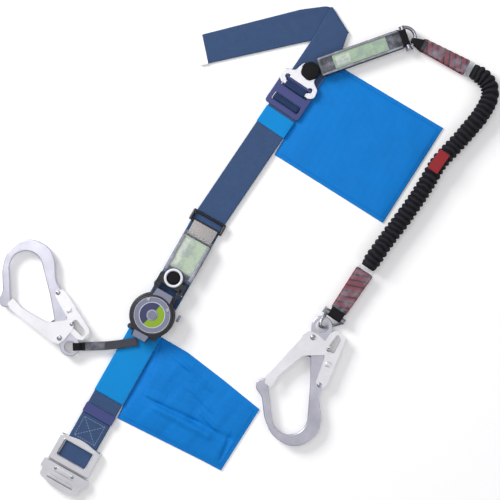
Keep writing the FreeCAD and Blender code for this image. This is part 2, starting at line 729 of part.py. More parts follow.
def build_reel():
    """Reel case, face cover, face ring, nozzle plate, screws and the side locking tab."""
    place = LOWER_BELT.multiply(placed(*REEL_CENTRE))
    case = new_body("reel_case", place)
    wall_height = "dim.reel_height - 3"
    pad(case, [], "dim.reel_base", wall_height, [(0.0, 0.0, "dim.reel_radius")])
    ear_end = TILT_AXIS - REEL_CENTRE[1] + 4.6
    for side in (-1.0, 1.0):
        inner = TILT_CENTRE - REEL_CENTRE[0] + side * 15.5
        outer = TILT_CENTRE - REEL_CENTRE[0] + side * 20.0
        ear = rectangle(min(inner, outer), 20.0, max(inner, outer), ear_end, 1.5)
        pad(case, ear, "dim.tilt_axis_height - 4.6", "9.2")
    pad(case, rectangle(-15.0, -44.5, 13.5, -20.0, 2.0), "dim.reel_base", wall_height)
    pad(case, rectangle(-16.8, 20.0, 17.0, 43.0, 2.0), "dim.reel_base + 1", "dim.reel_height - 6")
    for x, y in ((-22.5, -33.0), (20.5, -33.0)):
        pad(case, [], "dim.reel_base", "dim.reel_height - 8", [(x, y, "4.5")])
    cavity = [(0.0, 0.0, "dim.reel_radius - dim.reel_wall - 1.2")]
    cut(case, [], "dim.reel_base + dim.reel_height - 3", "dim.reel_height - 3 - dim.reel_wall", cavity)
    axis = (TILT_AXIS - REEL_CENTRE[1], dim("tilt_axis_height"), "dim.tilt_pin_radius + dim.running_gap")
    cut(case, [], "60", None, [axis], "YZ_Plane")
    top = dim("reel_base") + dim("reel_height") - 3.0
    face_top = dim("reel_base") + dim("reel_height")

    face = new_body("reel_face_cover", place)
    pad(face, [], "dim.reel_base + dim.reel_height - 3", "3",
        [(0.0, 0.0, "dim.reel_radius - 5"), (0.0, 0.0, "dim.axle_radius + dim.running_gap")])
    pad(face, [(-15.5, 26.0), (16.0, 26.0), (14.5, 42.0, 2.0), (-14.0, 42.0, 2.0)],
        "dim.reel_base + dim.reel_height - 3", "2")
    cut(face, [], "dim.reel_base + dim.reel_height", "0.8",
        [(0.0, 0.0, "19.9"), (0.0, 0.0, "9.3")])
    cut(face, [], "dim.reel_base + dim.reel_height", None, [(x, y, "1.55") for x, y in SCREW_PLACES])
    ring = new_body("reel_face_ring", place)
    pad(ring, [], "dim.reel_base + dim.reel_height - 0.75", "0.6", [(0.0, 0.0, "19.8"), (0.0, 0.0, "9.4")])

    nozzle = new_body("reel_nozzle_plate", place)
    plate = [(-12.0, -44.0, 1.5), (11.0, -44.0, 1.5), (12.5, -33.5, 1.0), (-13.0, -33.5, 1.0)]
    pad(nozzle, plate, "dim.reel_base + dim.reel_height - 3", "2.6")
    round_edges(nozzle, 0.7, at_heights(top + 2.6))

    screws = []
    for x, y in SCREW_PLACES:
        head = Part.makeCylinder(2.9, 0.9, Vector(x, y, face_top))
        shank = Part.makeCylinder(1.5, 3.0, Vector(x, y, top))
        screws.append(head.fuse(shank).removeSplitter())
    solid_feature("reel_screws", Part.makeCompound(screws), place)

    tab = new_body("reel_lock_tab", place)
    tab_outline = rectangle(dim("reel_radius") + dim("fit_gap"), 9.0, dim("reel_radius") + 5.0, 21.0, 1.5)
    pad(tab, tab_outline, "dim.reel_base + 9", "7")
    return place


SCREW_PLACES = [(-17.8, 19.8), (17.8, 19.2)]


def build_spool(place):
    """Spool with its wound strap, the fixed axle with the round cap, and the coiled power spring."""
    floor = "dim.reel_base + dim.reel_wall + 0.3"
    spool = new_body("reel_spool", place)
    bore = "dim.axle_radius + dim.running_gap"
    pad(spool, [], floor, "1.5", [(0.0, 0.0, "dim.spool_flange_radius"), (0.0, 0.0, bore)])
    pad(spool, [], floor, "15.5", [(0.0, 0.0, "dim.axle_radius + 3"), (0.0, 0.0, bore)])
    pad(spool, [], "dim.reel_base + dim.reel_wall + 15.3", "1.2",
        [(0.0, 0.0, "dim.spool_flange_radius"), (0.0, 0.0, bore)])
    wound = new_body("wound_strap", place)
    pad(wound, [], "dim.reel_base + dim.reel_wall + 1.85", "13.4",
        [(0.0, 0.0, "dim.spool_flange_radius - 2"), (0.0, 0.0, "dim.axle_radius + 3 + dim.running_gap")])
    axle = dim("axle_radius")
    top = dim("reel_base") + dim("reel_height")
    base = dim("reel_base") + dim("reel_wall")
    shaft = Part.makeCylinder(axle, top - base, Vector(0, 0, base))
    cap = Part.makeCylinder(dim("button_radius"), 1.6, Vector(0, 0, top))
    cap = cap.makeFillet(0.6, [edge for edge in cap.Edges if edge.BoundBox.ZMin > top + 1.0])
    solid_feature("reel_axle", shaft.fuse(cap).removeSplitter(), place)

    strip = 0.5
    turns = 7
    inner, outer = axle + 1.2, dim("spool_flange_radius") - 3.0
    height = base + 16.9
    rings = []
    for turn in range(turns):
        radius = inner + (outer - inner) * turn / (turns - 1)
        tube = Part.makeCylinder(radius + strip, 2.8, Vector(0, 0, height))
        rings.append(tube.cut(Part.makeCylinder(radius, 2.8, Vector(0, 0, height))))
    step = (outer - inner) / (turns - 1)
    spring = rings[0]
    for turn, hoop in enumerate(rings[1:]):
        side = 1.0 if turn % 2 else -1.0
        start = inner + step * turn + 0.2
        web = block(min(side * start, side * (start + step)), -0.4, height,
                    max(side * start, side * (start + step)), 0.4, height + 2.8)
        spring = spring.fuse(hoop).fuse(web)
    solid_feature("power_spring", spring.removeSplitter(), place)


# ---------------------------------------------------------------- strap of the reel

def build_reel_strap():
    """Flat strap from the reel's mouth to the sewn end loop, the clear sleeve and the loop."""
    height = dim("hook_plane")
    half = dim("strap_width") / 2
    thick = dim("strap_thickness")
    points = [(x, y, height) for x, y in STRAP_ROUTE]
    wire, radii, _length = smooth_path(points)
    print(f"reel_strap: smallest bend radius {min(radii):.1f}")
    along = Vector(*points[1]) - Vector(*points[0])
    along.normalize()
    side = Vector(-along.y, along.x, 0)
    start = Vector(*points[0])
    rise = Vector(0, 0, thick / 2)
    corners = [start + side * half - rise, start + side * half + rise,
               start - side * half + rise, start - side * half - rise]
    section = Part.makePolygon(corners + corners[:1])
    solid_feature("reel_strap", carry(section, wire, 2 * half * thick, "reel_strap"))

    sleeve_place = placed(*SLEEVE_START, SLEEVE_ANGLE)
    gap = dim("fit_gap")
    wall = dim("sleeve_wall")
    outer = block(0, -half - gap - wall, height - thick / 2 - gap - wall,
                  SLEEVE_LENGTH, half + gap + wall, height + thick / 2 + gap + wall)
    inner = block(-1, -half - gap, height - thick / 2 - gap, SLEEVE_LENGTH + 1, half + gap, height + thick / 2 + gap)
    solid_feature("strap_sleeve", outer.cut(inner), sleeve_place)

    reach = LEFT_EYE_DISTANCE
    eye_half = dim("hook_thickness") / 2
    web = 1.8
    inner_half = eye_half + 2 * gap
    bight = -4.0
    loop = block(SLEEVE_LENGTH, -half, height - thick, SLEEVE_LENGTH + 1.9, half, height + thick)
    for low, high in ((height + inner_half, height + inner_half + web), (height - inner_half - web, height - inner_half)):
        loop = loop.fuse(block(SLEEVE_LENGTH, -half, low, reach + bight, half, high))
    loop = loop.fuse(block(SLEEVE_LENGTH, -half, height - inner_half, SLEEVE_LENGTH + 1.9, half, height + inner_half))
    loop = loop.fuse(block(reach + bight - 2.0, -half, height - inner_half - web,
                           reach + bight, half, height + inner_half + web))
    solid_feature("strap_end_loop", loop.removeSplitter(), sleeve_place)


LEFT_EYE = (-269.7, -154.0)
LEFT_EYE_DISTANCE = math.hypot(LEFT_EYE[0] - SLEEVE_START[0], LEFT_EYE[1] - SLEEVE_START[1])
LEFT_HOOK_ANGLE = 189.5
RIGHT_EYE = (138.6, -120.9)

# ---------------------------------------------------------------- hooks

GATE_PIVOT = (-15.0, -17.9)
LINK_PIN = (9.8, -37.8)
LEVER_PIVOT = (-4.6, -94.9)
SEAT_CENTRE = (-52.4, -147.0)
SEAT_RADIUS = 28.6
SEAT_SIDES = 4
SEAT_BEFORE = (-19.2, -90.0)
SEAT_AFTER = (-87.5, -99.0)


def seat_corners():
    """Corners of sides that touch the seat's circle, so that their arcs join into one round seat."""
    centre = Vector(*SEAT_CENTRE, 0)

    def touching(point, side):
        away = Vector(*point, 0) - centre
        return math.atan2(away.y, away.x) + side * math.acos(SEAT_RADIUS / away.Length)

    first = touching(SEAT_BEFORE, -1)
    last = touching(SEAT_AFTER, 1) - 2 * math.pi
    step = (last - first) / SEAT_SIDES
    reach = SEAT_RADIUS / math.cos(step / 2)
    angles = [first + step * (number + 0.5) for number in range(SEAT_SIDES)]
    return [(centre.x + reach * math.cos(angle), centre.y + reach * math.sin(angle), SEAT_RADIUS)
            for angle in angles]


HOOK_BODY = [
    (-18.0, -10.0, 6.0), (-23.5, -24.0, 10.0), (-18.8, -50.0, 20.0), (*SEAT_BEFORE, 60.0),
    *seat_corners(), (*SEAT_AFTER, 2.5), (-92.5, -83.5, 3.0), (-106.0, -88.0, 6.5),
    (-107.5, -101.0, 8.0), (-98.0, -114.0, 18.0), (-94.0, -148.0, 50.0), (-83.0, -176.0, 40.0),
    (-56.0, -195.0, 40.0), (-30.0, -193.5, 40.0), (-5.0, -173.0, 40.0), (-1.0, -148.0, 40.0),
    (-6.0, -114.0, 30.0), (2.5, -97.0, 5.0), (3.0, -60.0, 30.0), (4.0, -34.0, 20.0), (15.5, -14.0, 6.0),
]
GATE_SIDE = [
    (-93.5, -91.5, 3.0), (-90.5, -80.5, 3.0), (-30.0, -14.5, 8.0), (-19.0, -7.5, 8.0), (-8.0, -12.5, 14.0),
    (9.0, -28.0, 10.0), (15.5, -38.5, 7.0), (5.0, -46.0, 8.0), (-33.0, -47.5, 22.0), (-72.0, -80.5, 30.0),
    (-82.5, -99.0, 3.0),
]
GATE_BACK = [(-88.0, -78.0), (-32.0, -16.8), (-30.8, -17.9), (-86.8, -79.1)]
LEVER_SIDE = [
    (14.5, -10.5, 5.0), (23.0, -6.5, 6.0), (37.5, -18.5, 3.0), (37.5, -23.0, 4.0), (8.0, -94.5, 5.0),
    (1.0, -100.5, 6.0), (-11.5, -93.0, 6.0), (3.9, -50.0, 6.0), (-0.5, -40.0, 6.0), (3.0, -26.0, 8.0),
]
LEVER_BACK = [(36.0, -25.0), (8.3, -92.0), (7.0, -91.4), (34.7, -24.4)]
SLOT_CORNERS = [(9.8, -37.8), (17.3, -40.8), (27.2, -22.6), (24.9, -17.3), (18.0, -26.5)]


HOOK_EDGE_RADIUS = 1.6


def slot_outline(centres, radius):
    """Outline that runs one radius outside a clockwise or anticlockwise ring of centres."""
    area = sum(a[0] * b[1] - b[0] * a[1] for a, b in zip(centres, centres[1:] + centres[:1]))
    ring = centres if area > 0 else centres[::-1]
    corners = []
    for index, here in enumerate(ring):
        before = Vector(*ring[index - 1], 0)
        after = Vector(*ring[(index + 1) % len(ring)], 0)
        point = Vector(*here, 0)
        first = (point - before).normalize()
        second = (after - point).normalize()
        first_normal = Vector(first.y, -first.x, 0)
        second_normal = Vector(second.y, -second.x, 0)
        bisector = (first_normal + second_normal).normalize()
        reach = radius / bisector.dot(first_normal)
        corner = point + bisector * reach
        turn_left = first.cross(second).z > 0
        corners.append((corner.x, corner.y, radius if turn_left else 0.4))
    return corners


def build_hook(side, place, scale, mirror):
    """Large scaffold hook: forged body, gate channel, back lever with a slot, pins and springs."""
    def shaped(corners):
        return moved(corners, 0.0, 0.0, scale, mirror)

    def spot(point):
        return moved([point], 0.0, 0.0, scale, mirror)[0]

    half = dim("hook_thickness") / 2
    base = "dim.hook_plane - 0.5 * dim.hook_thickness"
    top = "dim.hook_plane + 0.5 * dim.hook_thickness"
    factor = f"{scale:.4f}"
    body = new_body(f"{side}_hook_body", place)
    eye = dim("eye_radius")
    flat = eye * math.tan(math.pi / 8)
    eye_rim = [(eye, flat, eye), (flat, eye, eye), (-flat, eye, eye), (-eye, flat, eye)]
    pad(body, shaped(HOOK_BODY + eye_rim), base, "dim.hook_thickness")
    round_edges(body, HOOK_EDGE_RADIUS, at_heights(dim("hook_plane") + half, dim("hook_plane") - half))
    cut(body, [], top, None, [(0.0, 0.0, f"dim.eye_hole_radius * {factor}")])
    for point in (GATE_PIVOT, LEVER_PIVOT):
        cut(body, [], top, None, [(*spot(point), "dim.hook_pin_radius + dim.running_gap")])

    gate = new_body(f"{side}_hook_gate", place)
    for sign in (-1, 1):
        inner = f"dim.hook_plane + {sign} * 0.5 * dim.gate_inner" + ("" if sign > 0 else " - dim.gate_wall")
        pad(gate, shaped(GATE_SIDE), inner, "dim.gate_wall")
        if sign < 0:
            pad(gate, shaped(GATE_BACK), "dim.hook_plane - 0.5 * dim.gate_inner - dim.gate_wall",
                "dim.gate_inner + 2 * dim.gate_wall")
    outer = "dim.hook_plane + 0.5 * dim.gate_inner + dim.gate_wall"
    for point in (GATE_PIVOT, LINK_PIN):
        cut(gate, [], outer, None, [(*spot(point), "dim.hook_pin_radius + dim.running_gap")])

    lever = new_body(f"{side}_hook_lock_lever", place)
    for sign in (-1, 1):
        inner = f"dim.hook_plane + {sign} * 0.5 * dim.lever_inner" + ("" if sign > 0 else " - dim.lever_wall")
        pad(lever, shaped(LEVER_SIDE), inner, "dim.lever_wall")
        if sign < 0:
            pad(lever, shaped(LEVER_BACK), "dim.hook_plane - 0.5 * dim.lever_inner - dim.lever_wall",
                "dim.lever_inner + 2 * dim.lever_wall")
    outer = "dim.hook_plane + 0.5 * dim.lever_inner + dim.lever_wall"
    centres = [spot(point)[:2] for point in SLOT_CORNERS]
    cut(lever, [slot_outline(centres, dim("hook_pin_radius") + 0.45)], outer)
    cut(lever, [], outer, None, [(*spot(LEVER_PIVOT), "dim.hook_pin_radius + dim.running_gap")])

    plane = dim("hook_plane")
    radius = dim("hook_pin_radius")
    head = dim("hook_pin_head")
    head_radius = dim("hook_pin_head_radius")

    def rivet(point, reach):
        x, y = spot(point)[:2]
        shape = Part.makeCylinder(radius, 2 * reach, Vector(x, y, plane - reach))
        for low in (plane - reach - head, plane + reach):
            shape = shape.fuse(Part.makeCylinder(head_radius, head, Vector(x, y, low)))
        return shape.removeSplitter()

    gate_reach = dim("gate_inner") / 2 + dim("gate_wall") + 0.05
    lever_reach = dim("lever_inner") / 2 + dim("lever_wall") + 0.05
    pivots = Part.makeCompound([rivet(GATE_PIVOT, gate_reach), rivet(LEVER_PIVOT, lever_reach)])
    solid_feature(f"{side}_hook_pivot_rivets", pivots, place)
    solid_feature(f"{side}_hook_link_pin", rivet(LINK_PIN, gate_reach), place)


# ---------------------------------------------------------------- lanyard

HANGER_LOOP = (119.5, 292.5)
HANGER_LOOP_RADIUS = 15.3
UPPER_PACK_ANGLE = 19.5
UPPER_PACK_START = 16.0
END_LOOP_BOLT = 162.8
LOWER_LINK_ANGLE = -27.8
RED_PACK_START = 31.0
RED_PACK_OFFSET = 2.9
BELLOWS_ROUTE = [
    (381.3, 293.2), (392.8, 287.1), (404.5, 277.5), (411.0, 264.0), (410.3, 249.0), (404.0, 235.0),
    (393.0, 217.5), (378.5, 200.0), (361.0, 179.5), (341.0, 159.0), (324.5, 140.5), (312.5, 118.0),
    (292.0, 85.0), (268.0, 51.5), (245.5, 22.5), (225.9, -5.4), (212.0, -26.2),
]
BELLOWS_HEIGHT = 14.2
TAG_CENTRE = (325.2, 144.9)
TAG_ANGLE = -124.9
LOWER_PACK_START = (211.7, -26.7)
LOWER_PACK_ANGLE = -123.8
HOOK_BOLT_REACH = 94.0
HOOK_BOW = [
    (0.0, -14.8, 13.0), (8.0, -15.2, 17.0), (20.0, -15.1, 19.9), (26.5, -12.5, 19.9), (25.8, -3.6, 3.1),
    (18.4, 2.6, 3.1), (11.6, 8.4, 3.4), (5.0, 14.4, 9.0), (0.0, 15.0, 13.0),
]


def pack_sleeve(label, place, length, start_width, end_width):
    """Clear sleeve, open at both ends, that tapers from one width to the other."""
    wall = dim("sleeve_wall")
    body = new_body(label, place)
    outer = [(0, -start_width / 2), (length, -end_width / 2), (length, end_width / 2), (0, start_width / 2)]
    inner = [(-2, wall - start_width / 2), (length + 2, wall - end_width / 2),
             (length + 2, end_width / 2 - wall), (-2, start_width / 2 - wall)]
    pad(body, outer, "dim.lanyard_height - 0.5 * dim.sleeve_height", "dim.sleeve_height")
    cut(body, [inner], "dim.lanyard_height + 0.5 * dim.sleeve_height - dim.sleeve_wall",
        "dim.sleeve_height - 2 * dim.sleeve_wall")


def pack_core(label, place, start, end, start_width, end_width):
    """Folded tear webbing that lies inside a sleeve."""
    body = new_body(label, place)
    gap = dim("sleeve_wall") + dim("fit_gap")
    corners = [(start, gap - start_width / 2), (end, gap - end_width / 2),
               (end, end_width / 2 - gap), (start, start_width / 2 - gap)]
    pad(body, corners, "dim.lanyard_height - 0.5 * dim.sleeve_height + dim.sleeve_wall + dim.fit_gap",
        "dim.sleeve_height - 2 * dim.sleeve_wall - 2 * dim.fit_gap - 0.8")
    return body


def bolt_loop(start, bolt, half_width, tip):
    """Black webbing loop round a shackle bolt that lies across the lanyard."""
    height = dim("lanyard_height")
    half_height = dim("sleeve_height") / 2 - 0.6
    shape = block(start, -half_width, height - half_height, bolt, half_width, height + half_height)
    shape = shape.fuse(rod((bolt, -half_width, height), (bolt, half_width, height), tip))
    hole = dim("shackle_bolt_radius") + dim("running_gap")
    return shape.cut(rod((bolt, -half_width - 1, height), (bolt, half_width + 1, height), hole))


def bolt_with_head(half_length):
    """Shackle bolt with a hexagon head at its -Y end, about the origin."""
    height = dim("lanyard_height")
    shape = rod((0, -half_length, height), (0, half_length, height), dim("shackle_bolt_radius"))
    corners = [Vector(5.6 * math.cos(math.radians(60 * i)), -half_length, height + 5.6 * math.sin(math.radians(60 * i)))
               for i in range(7)]
    head = Part.Face(Part.makePolygon(corners)).extrude(Vector(0, -3.2, 0))
    return shape.fuse(head).removeSplitter()


def bow_ends(shape, inner, outer):
    """Add the two bored end lugs to a shackle bow."""
    height = dim("lanyard_height")
    for side in (-1.0, 1.0):
        shape = shape.fuse(rod((0, side * inner, height), (0, side * outer, height), 5.2))
    bore = dim("shackle_bolt_radius") + dim("running_gap")
    return shape.cut(rod((0, -outer - 1, height), (0, outer + 1, height), bore)).removeSplitter()


def build_hanger_loop():
    """Black webbing loop sewn round the top bar of the hanger plate."""
    turn = Rotation(Vector(0, 0, 1), -UPPER_BELT_ANGLE)
    offset = turn.multVec(Vector(*HANGER_LOOP, 0) - Vector(*RING_CENTRE, 0))
    low = dim("belt_base") + dim("webbing_thickness") + dim("fit_gap")
    high = dim("lanyard_height") + dim("sleeve_height") / 2 - 1.0
    slab_low = dim("hanger_base") - dim("fit_gap")
    slab_high = dim("hanger_base") + dim("hanger_thickness") + dim("fit_gap")
    radius = HANGER_LOOP_RADIUS
    disc = Part.makeCylinder(radius, high - low, Vector(offset.x, offset.y, low))
    slab = block(offset.x - 20, offset.y - 20, slab_low, offset.x + 20, offset.y + 20, slab_high)
    gap = dim("fit_gap")
    inset = gap + 1.0
    window = block(HANGER_CENTRE - 8.0 + inset, 286.0 + inset, low, HANGER_CENTRE + 13.0 - inset, 296.0 - inset, high)
    wrap = block(offset.x - 20, HANGER_NECK_TOP + gap, low, offset.x + 20, offset.y + 20, high)
    column = disc.common(window.fuse(wrap))
    solid_feature("hanger_loop", disc.cut(slab).fuse(column).removeSplitter(), UPPER_BELT)


def build_upper_pack():
    """Shock absorber pack between the hanger loop and the first shackle, and the shackle."""
    place = placed(*HANGER_LOOP, UPPER_PACK_ANGLE)
    width = dim("upper_pack_width")
    length = dim("upper_pack_length")
    sleeve_place = place.multiply(placed(UPPER_PACK_START, 0.0))
    pack_sleeve("upper_absorber_sleeve", sleeve_place, length, width, width)
    pack_core("upper_absorber_webbing", sleeve_place, 1.0, length, width, width)
    label = new_body("upper_absorber_label", sleeve_place)
    pad(label, rectangle(24.0, -11.0, 115.5, 11.5, 1.5),
        "dim.lanyard_height + 0.5 * dim.sleeve_height - dim.sleeve_wall - 0.85", "0.6")
    bolt = END_LOOP_BOLT - UPPER_PACK_START
    loop = bolt_loop(length, bolt, 12.3, dim("shackle_bolt_radius") + 1.0)
    solid_feature("upper_end_loop", loop.removeSplitter(), sleeve_place)

    bolt_place = place.multiply(placed(END_LOOP_BOLT, 0.0))
    height = dim("lanyard_height")
    wire = dim("shackle_wire_radius")
    bow = Part.makeTorus(SHACKLE_ARC, wire, Vector(0, 0, height), Vector(0, 0, 1))
    bow = bow.common(block(0, -40, 0, 40, 40, 40))
    solid_feature("upper_shackle_bow", bow_ends(bow, 12.8, 19.0), bolt_place)
    solid_feature("upper_shackle_bolt", bolt_with_head(19.2), bolt_place)
    return bolt_place


SHACKLE_ARC = 16.5
HANGER_NECK_TOP = 303.0


def build_bellows_lanyard(bolt_place):
    """Lanyard from the first shackle to the hook: two red packs, the bellows and the tag."""
    link = Placement(bolt_place.Base, Rotation(Vector(0, 0, 1), LOWER_LINK_ANGLE))
    height = dim("lanyard_height")
    wire = dim("shackle_wire_radius")
    half_height = dim("sleeve_height") / 2 - 0.4
    web_low = wire + dim("fit_gap") + 0.2
    offset = RED_PACK_OFFSET
    flat = [(9.6, -3.0, 1.0), (13.5, -4.0, 4.0), (21.5, -8.0, 4.0), (RED_PACK_START, offset - 9.3),
            (RED_PACK_START, offset + 9.3), (16.0, 10.0, 5.0), (9.6, 3.0, 1.0)]
    outline = Part.Face(Part.Wire([edge.toShape() for edge in outline_edges(flat)]))
    layers = []
    for low in (height - half_height, height + web_low):
        layer = outline.copy()
        layer.translate(Vector(0, 0, low))
        layers.append(layer.extrude(Vector(0, 0, half_height - web_low)))
    inner_end = block(9.6, -2.6, height - half_height, 12.6, 2.6, height + half_height)
    outer_end = block(24.5, offset - 8.6, height - half_height, RED_PACK_START, offset + 8.6, height + half_height)
    loop = layers[0].fuse(layers[1]).fuse(inner_end).fuse(outer_end)
    solid_feature("lower_link_loop", loop.removeSplitter(), link)

    length = dim("upper_red_pack_length")
    red_place = link.multiply(placed(RED_PACK_START, offset))
    pack_sleeve("first_red_pack_sleeve", red_place, length, 20.0, dim("red_pack_width"))
    pack_core("first_red_pack_webbing", red_place, 0.0, length - 10.0, 20.0, dim("red_pack_width") - 0.4)

    points = [(x, y, BELLOWS_HEIGHT) for x, y in BELLOWS_ROUTE]
    solid_feature("bellows_cover", round_tube(points, dim("bellows_radius"), "bellows_cover"))
    tag = new_body("red_inspection_tag", placed(*TAG_CENTRE, TAG_ANGLE))
    pad(tag, rectangle(-18.0, -9.3, 18.0, 9.3, 1.0), f"{BELLOWS_HEIGHT} + dim.bellows_radius + 0.2", "2.2")

    length = dim("lower_red_pack_length")
    lower = placed(*LOWER_PACK_START, LOWER_PACK_ANGLE)
    pack_sleeve("second_red_pack_sleeve", lower, length, 29.0, dim("red_pack_width"))
    pack_core("second_red_pack_webbing", lower, 9.0, length, 28.0, dim("red_pack_width"))
    loop = bolt_loop(length, HOOK_BOLT_REACH, 11.3, dim("shackle_bolt_radius") + 1.6)
    solid_feature("hook_end_loop", loop.removeSplitter(), lower)
    bolt_place = lower.multiply(placed(HOOK_BOLT_REACH, 0.0))
    bow = round_tube(HOOK_BOW, wire - 0.2, "hook_shackle_bow")
    solid_feature("hook_shackle_bow", bow_ends(bow, 11.8, 18.0), bolt_place)
    solid_feature("hook_shackle_bolt", bolt_with_head(18.6), bolt_place)


# ---------------------------------------------------------------- assembly

# brings the middle of the footprint, cords left out, to the origin of the table
LAYOUT_SHIFT = (-0.3, -1.55)


def check_and_export():
    """Stop on any failed object or empty sub-part, then write one STEP file for each node."""
    for part in nodes:
        part.Placement = placed(*LAYOUT_SHIFT).multiply(part.Placement)
    document.recompute()
    faults = [item.Label for item in document.Objects if {"Invalid", "Error"} & set(item.State)]
    if faults:
        raise RuntimeError(f"failed objects: {faults}")
    os.makedirs("parts", exist_ok=True)
    for part in nodes:
        shape = part.Shape
        if shape.isNull() or not shape.isValid() or not shape.Solids:
            raise RuntimeError(f"{part.Label} has no sound solid")
        shape.exportStep(f"parts/{part.Label}.step")
    print(f"{len(nodes)} nodes written")


def main():
    """Build every sub-assembly in order and write the parts."""
    build_waist_belt()
    build_belt_tip()
    build_buckle()
    build_keeper()
    build_pouches()
    build_adjuster()
    build_hanger_plate()
    build_belt_ring()
    build_connector()
    build_absorber_unit()
    build_spool(build_reel())
    build_reel_strap()
    build_hook("left", placed(*LEFT_EYE, LEFT_HOOK_ANGLE), dim("left_hook_scale"), True)
    build_hanger_loop()
    bolt_place = build_upper_pack()
    build_bellows_lanyard(bolt_place)
    build_hook("right", placed(*RIGHT_EYE), 1.0, False)
    check_and_export()


main()
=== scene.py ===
"""Looks of a waist belt that carries two shock absorbing lanyards.

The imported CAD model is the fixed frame. Webbing, cloth, loops and folded absorbers are built here as
surfaces worked out with numpy, the hard parts keep their CAD shape and get a finish. Sizes are in
millimetres in the sub-assemblies and become metres when a mesh is made.
"""

import logging
import math
from dataclasses import dataclass, field
from enum import Enum
from typing import Any, Callable, Optional, Sequence, Union

import bpy
import numpy as np
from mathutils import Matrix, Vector

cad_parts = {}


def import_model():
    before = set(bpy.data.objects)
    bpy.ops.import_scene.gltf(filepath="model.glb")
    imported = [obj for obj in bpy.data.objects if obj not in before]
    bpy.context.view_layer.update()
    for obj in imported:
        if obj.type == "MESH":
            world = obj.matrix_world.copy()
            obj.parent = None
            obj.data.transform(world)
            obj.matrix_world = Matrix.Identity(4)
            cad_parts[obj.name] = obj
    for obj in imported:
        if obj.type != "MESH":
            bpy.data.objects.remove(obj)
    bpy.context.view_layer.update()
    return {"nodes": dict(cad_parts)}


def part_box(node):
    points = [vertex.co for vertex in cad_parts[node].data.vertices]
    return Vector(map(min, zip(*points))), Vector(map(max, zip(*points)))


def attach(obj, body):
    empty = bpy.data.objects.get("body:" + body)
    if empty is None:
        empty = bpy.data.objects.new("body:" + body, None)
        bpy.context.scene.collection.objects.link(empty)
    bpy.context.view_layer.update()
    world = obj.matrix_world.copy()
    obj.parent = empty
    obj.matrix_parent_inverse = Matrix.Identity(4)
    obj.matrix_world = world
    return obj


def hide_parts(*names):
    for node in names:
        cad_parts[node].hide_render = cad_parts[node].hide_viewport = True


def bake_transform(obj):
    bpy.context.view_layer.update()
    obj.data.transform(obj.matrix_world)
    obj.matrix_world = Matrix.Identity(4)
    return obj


LOG = logging.getLogger("lanyard")
MM = 0.001
TAU = 2.0 * math.pi
Array = np.ndarray
Piece = bpy.types.Object
Material = bpy.types.Material
Line = Sequence[Sequence[float]]
Pair = tuple[float, float]
Colour = tuple[float, float, float]


# ---------------------------------------------------------------- places and curves


@dataclass(frozen=True)
class Place:
    """A point of the table and a turn about +Z; local millimetres become metres of the frame."""

    x: float
    y: float
    angle: float = 0.0
    scale: float = 1.0
    mirror: bool = False

    def then(self, x: float, y: float, angle: float = 0.0) -> "Place":
        """A place given in this one's own coordinates."""
        at = self.metres(np.array([[x, y, 0.0]]))[0] / MM
        return Place(float(at[0]), float(at[1]), self.angle + angle)

    def metres(self, local: Array) -> Array:
        """Turn local millimetres into metres of the frame.

        Args:
            local: points, the last axis is x, y, z.

        Returns:
            The same points, mirrored, scaled, turned by the angle and moved.
        """
        turn = math.radians(self.angle)
        x = local[..., 0] * self.scale * (-1.0 if self.mirror else 1.0)
        y = local[..., 1] * self.scale
        east = self.x + math.cos(turn) * x - math.sin(turn) * y
        north = self.y + math.sin(turn) * x + math.cos(turn) * y
        return np.stack([east, north, local[..., 2]], axis=-1) * MM


TABLE = Place(-0.3, -1.55)
LOWER_BELT = TABLE.then(-47.0, 48.0, -29.5)
UPPER_BELT = TABLE.then(-47.0, 48.0, -34.0)
REEL = LOWER_BELT.then(-3.4, -174.3)
STRAP = TABLE.then(-213.0, -152.8, 181.8)
LEFT_HOOK = Place(TABLE.x - 269.7, TABLE.y - 154.0, 189.5, 0.94, True)
RIGHT_HOOK = TABLE.then(138.6, -120.9)
UPPER_PACK = TABLE.then(119.5, 292.5, 19.5).then(16.0, 0.0)
LINK = TABLE.then(272.96, 346.84, -27.8)
RED_PACK = LINK.then(31.0, 2.9)
LOWER_PACK = TABLE.then(211.7, -26.7, -123.8)


def length_of(line: Array) -> float:
    """Length of a polyline, in the unit of its points."""
    return float(np.linalg.norm(np.diff(line, axis=0), axis=1).sum())


def resampled(points: Line, count: int) -> Array:
    """Points evenly spaced along a polyline.

    Args:
        points: the corners, any number of coordinates each.
        count: how many points come back.

    Returns:
        Straight interpolation between corners, by distance along the line.
    """
    corners = np.asarray(points, float)
    along = np.concatenate([[0.0], np.cumsum(np.linalg.norm(np.diff(corners, axis=0), axis=1))])
    at = np.linspace(0.0, along[-1], count)
    return np.stack([np.interp(at, along, corners[:, k]) for k in range(corners.shape[1])], axis=1)


def rounded(points: Line, count: int, softness: float = 0.08) -> Array:
    """A polyline with softened corners.

    Args:
        points: the corners.
        count: how many points come back.
        softness: share of the line that the moving average spans.

    Returns:
        The line resampled, then averaged over a sliding Hann window with its ends held.
    """
    line = resampled(points, count)
    half = max(1, int(count * softness / 2))
    window = np.hanning(2 * half + 3)[1:-1]
    window /= window.sum()
    first = 2 * line[0] - line[half:0:-1]
    last = 2 * line[-1] - line[-2 : -half - 2 : -1]
    padded = np.concatenate([first, line, last])
    return np.stack([np.convolve(padded[:, k], window, "valid") for k in range(line.shape[1])], axis=1)


